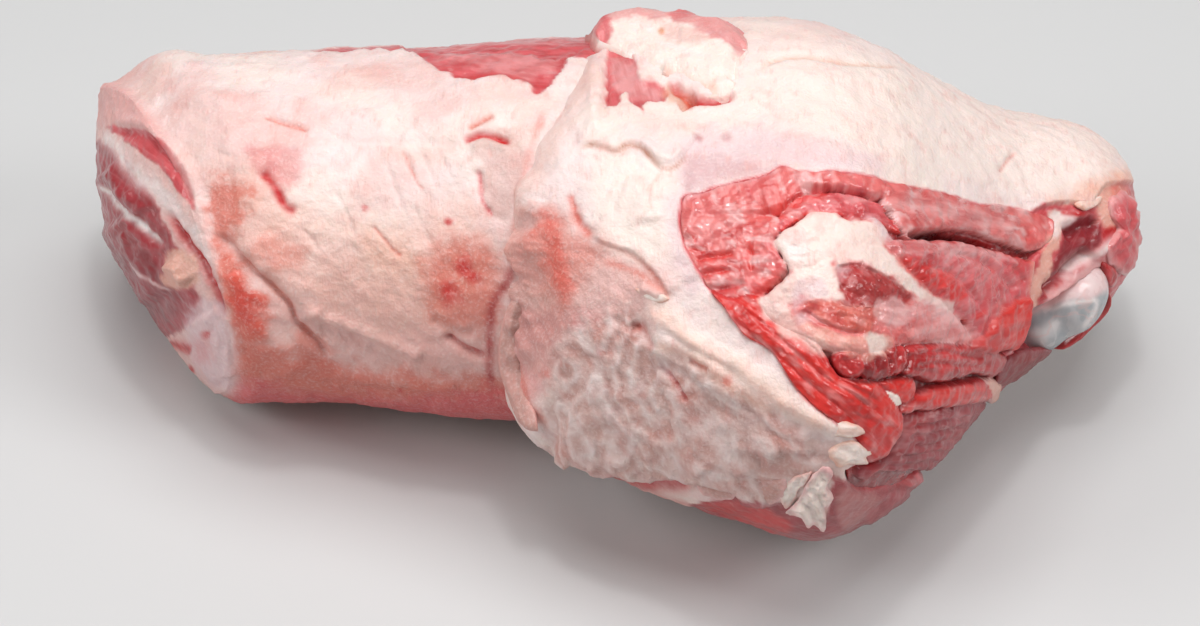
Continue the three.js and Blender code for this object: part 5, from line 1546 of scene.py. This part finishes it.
class LAMBNECK_OT_flaps(bpy.types.Operator):
    """Lay the torn flaps, the end lobe and the rolls on the body"""
    bl_idname = "lamb_neck.flaps"
    bl_label = "Flaps and Rolls"

    def execute(self, context):
        tones, skin = tones_of(context), body_skin(context)
        seats = {"collar_roll": Bridge(SKINS["barrel"], skin, *ROLL_ROWS)}
        for seed, laid in enumerate(FLAPS + ROLLS, 200):
            make = roll_piece if isinstance(laid, Roll) else flap_piece
            points, grain, edge, faces = make(seats.get(laid.name, skin), laid, seed)
            points[:, 2] = np.maximum(points[:, 2], 0)
            count = len(points)
            add_piece(laid.name, points, faces, flesh(context), "meat",
                      tint=laid_paint(points, grain, tones, laid, edge, seed),
                      lean=np.full(count, laid.lean), wet=np.full(count, laid.wet), grain=grain)
        return {"FINISHED"}


class LAMBNECK_OT_tongue(bpy.types.Operator):
    """Lay the tongue of fat over the top"""
    bl_idname = "lamb_neck.tongue"
    bl_label = "Tongue of Fat"

    def execute(self, context):
        tones = tones_of(context)
        patch = Patch(Plane(), TONGUE_OUTLINE, TONGUE_MIDDLE, TONGUE_RINGS, TONGUE_AROUND, tones["cream"],
                      0.0, TONGUE_DEPTH, TONGUE_FLARE)
        patch.mottle(tones, "pink", 9, 0.3, 81)
        patch.bulge(TONGUE_BULGES, tones)
        patch.tint[patch.under] = tones["pink"]
        patch.shape(TONGUE_DRAPE)
        patch.shape(TONGUE_SHAPES, gate=patch.upper)
        patch.paint(TONGUE_PAINT, tones, gate=patch.upper)
        patch.paint(TONGUE_RIM_PAINT, tones)
        patch.rise += patch.upper * 0.3 * noise(patch.base, 6, 82)
        patch.into_scene(context, "fat_tongue")
        return {"FINISHED"}


class LAMBNECK_OT_bone_end(bpy.types.Operator):
    """Build the bone end with its cap of cartilage"""
    bl_idname = "lamb_neck.bone_end"
    bl_label = "Bone End"

    def execute(self, context):
        tones = tones_of(context)
        half_length = context.scene.lamb_neck_sizes.bone_length / MM / 2
        points, faces = bone_head(half_length)
        bone = Surface(points, np.zeros_like(points), see(points), np.ones(len(points)), tones["cartilage"])
        bone.paint(BONE_PAINT, tones)
        piece = add_piece("bone_head", points, faces, cartilage_material(tones), "bone", tint=bone.tint)
        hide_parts("bone_end")
        return {"FINISHED"}


class LAMBNECK_OT_stage(bpy.types.Operator):
    """Set the floor, the lights and the camera"""
    bl_idname = "lamb_neck.stage"
    bl_label = "Stage"

    def execute(self, context):
        scene, tones = context.scene, tones_of(context)
        half = scene.lamb_neck_sizes.floor_size / 2
        mesh = bpy.data.meshes.new("floor")
        corners = [(-half, -half, 0), (half, -half, 0), (half, half, 0), (-half, half, 0)]
        mesh.from_pydata(corners, [], [(0, 1, 2, 3)])
        material, start = new_material("floor")
        shader = start.node("ShaderNodeBsdfPrincipled", Base_Color=(*tones["floor"], 1), Roughness=0.7)
        finish_material(start, shader)
        mesh.materials.append(material)
        floor = bpy.data.objects.new("floor", mesh)
        scene.collection.objects.link(floor)

        world = bpy.data.worlds.new("studio")
        world.use_nodes = True
        sky = world.node_tree.nodes["Background"].inputs
        sky["Color"].default_value = SKY_COLOUR
        sky["Strength"].default_value = SKY_STRENGTH
        scene.world = world
        for name, place, size, power in LIGHTS:
            light = bpy.data.lights.new(name, "AREA")
            light.energy = power
            light.size = size
            lamp = bpy.data.objects.new(name, light)
            lamp.location = place
            lamp.rotation_euler = (Vector(LIGHTS_AIM) - lamp.location).to_track_quat("-Z", "Y").to_euler()
            scene.collection.objects.link(lamp)

        data = bpy.data.cameras.new("camera")
        data.sensor_width = SENSOR_WIDTH
        data.lens = data.sensor_width * FOCAL / FRAME_SIZE[0]
        data.clip_start = 0.01
        camera = bpy.data.objects.new("camera", data)
        camera.location = Vector(EYE * MM)
        camera.rotation_euler = (math.pi / 2 - ELEVATION, 0, 0)
        scene.collection.objects.link(camera)
        scene.camera = camera
        scene.view_settings.view_transform = "Standard"
        return {"FINISHED"}


class LAMBNECK_PT_panel(bpy.types.Panel):
    """The maker's panel"""
    bl_idname = "LAMBNECK_PT_panel"
    bl_label = "Lamb Neck"
    bl_space_type = "VIEW_3D"
    bl_region_type = "UI"
    bl_category = "Lamb Neck"

    def draw(self, context):
        for operator in OPERATORS:
            self.layout.operator(operator.bl_idname)
        for group in (context.scene.lamb_neck_sizes, context.scene.lamb_neck_colours):
            for name in group.__annotations__:
                self.layout.prop(group, name)


OPERATORS = (
    LAMBNECK_OT_barrel, LAMBNECK_OT_body, LAMBNECK_OT_lean, LAMBNECK_OT_flaps, LAMBNECK_OT_tongue,
    LAMBNECK_OT_bone_end, LAMBNECK_OT_stage,
)
CLASSES = (LambNeckSizes, LambNeckColours, *OPERATORS, LAMBNECK_PT_panel)


def register():
    for cls in CLASSES:
        bpy.utils.register_class(cls)
    bpy.types.Scene.lamb_neck_sizes = PointerProperty(type=LambNeckSizes)
    bpy.types.Scene.lamb_neck_colours = PointerProperty(type=LambNeckColours)


def unregister():
    del bpy.types.Scene.lamb_neck_colours
    del bpy.types.Scene.lamb_neck_sizes
    for cls in reversed(CLASSES):
        bpy.utils.unregister_class(cls)


def main():
    register()
    bpy.ops.lamb_neck.barrel()
    bpy.ops.lamb_neck.body()
    bpy.ops.lamb_neck.lean()
    bpy.ops.lamb_neck.flaps()
    bpy.ops.lamb_neck.tongue()
    bpy.ops.lamb_neck.bone_end()
    bpy.ops.lamb_neck.stage()


if __name__ == "__main__":
    main()
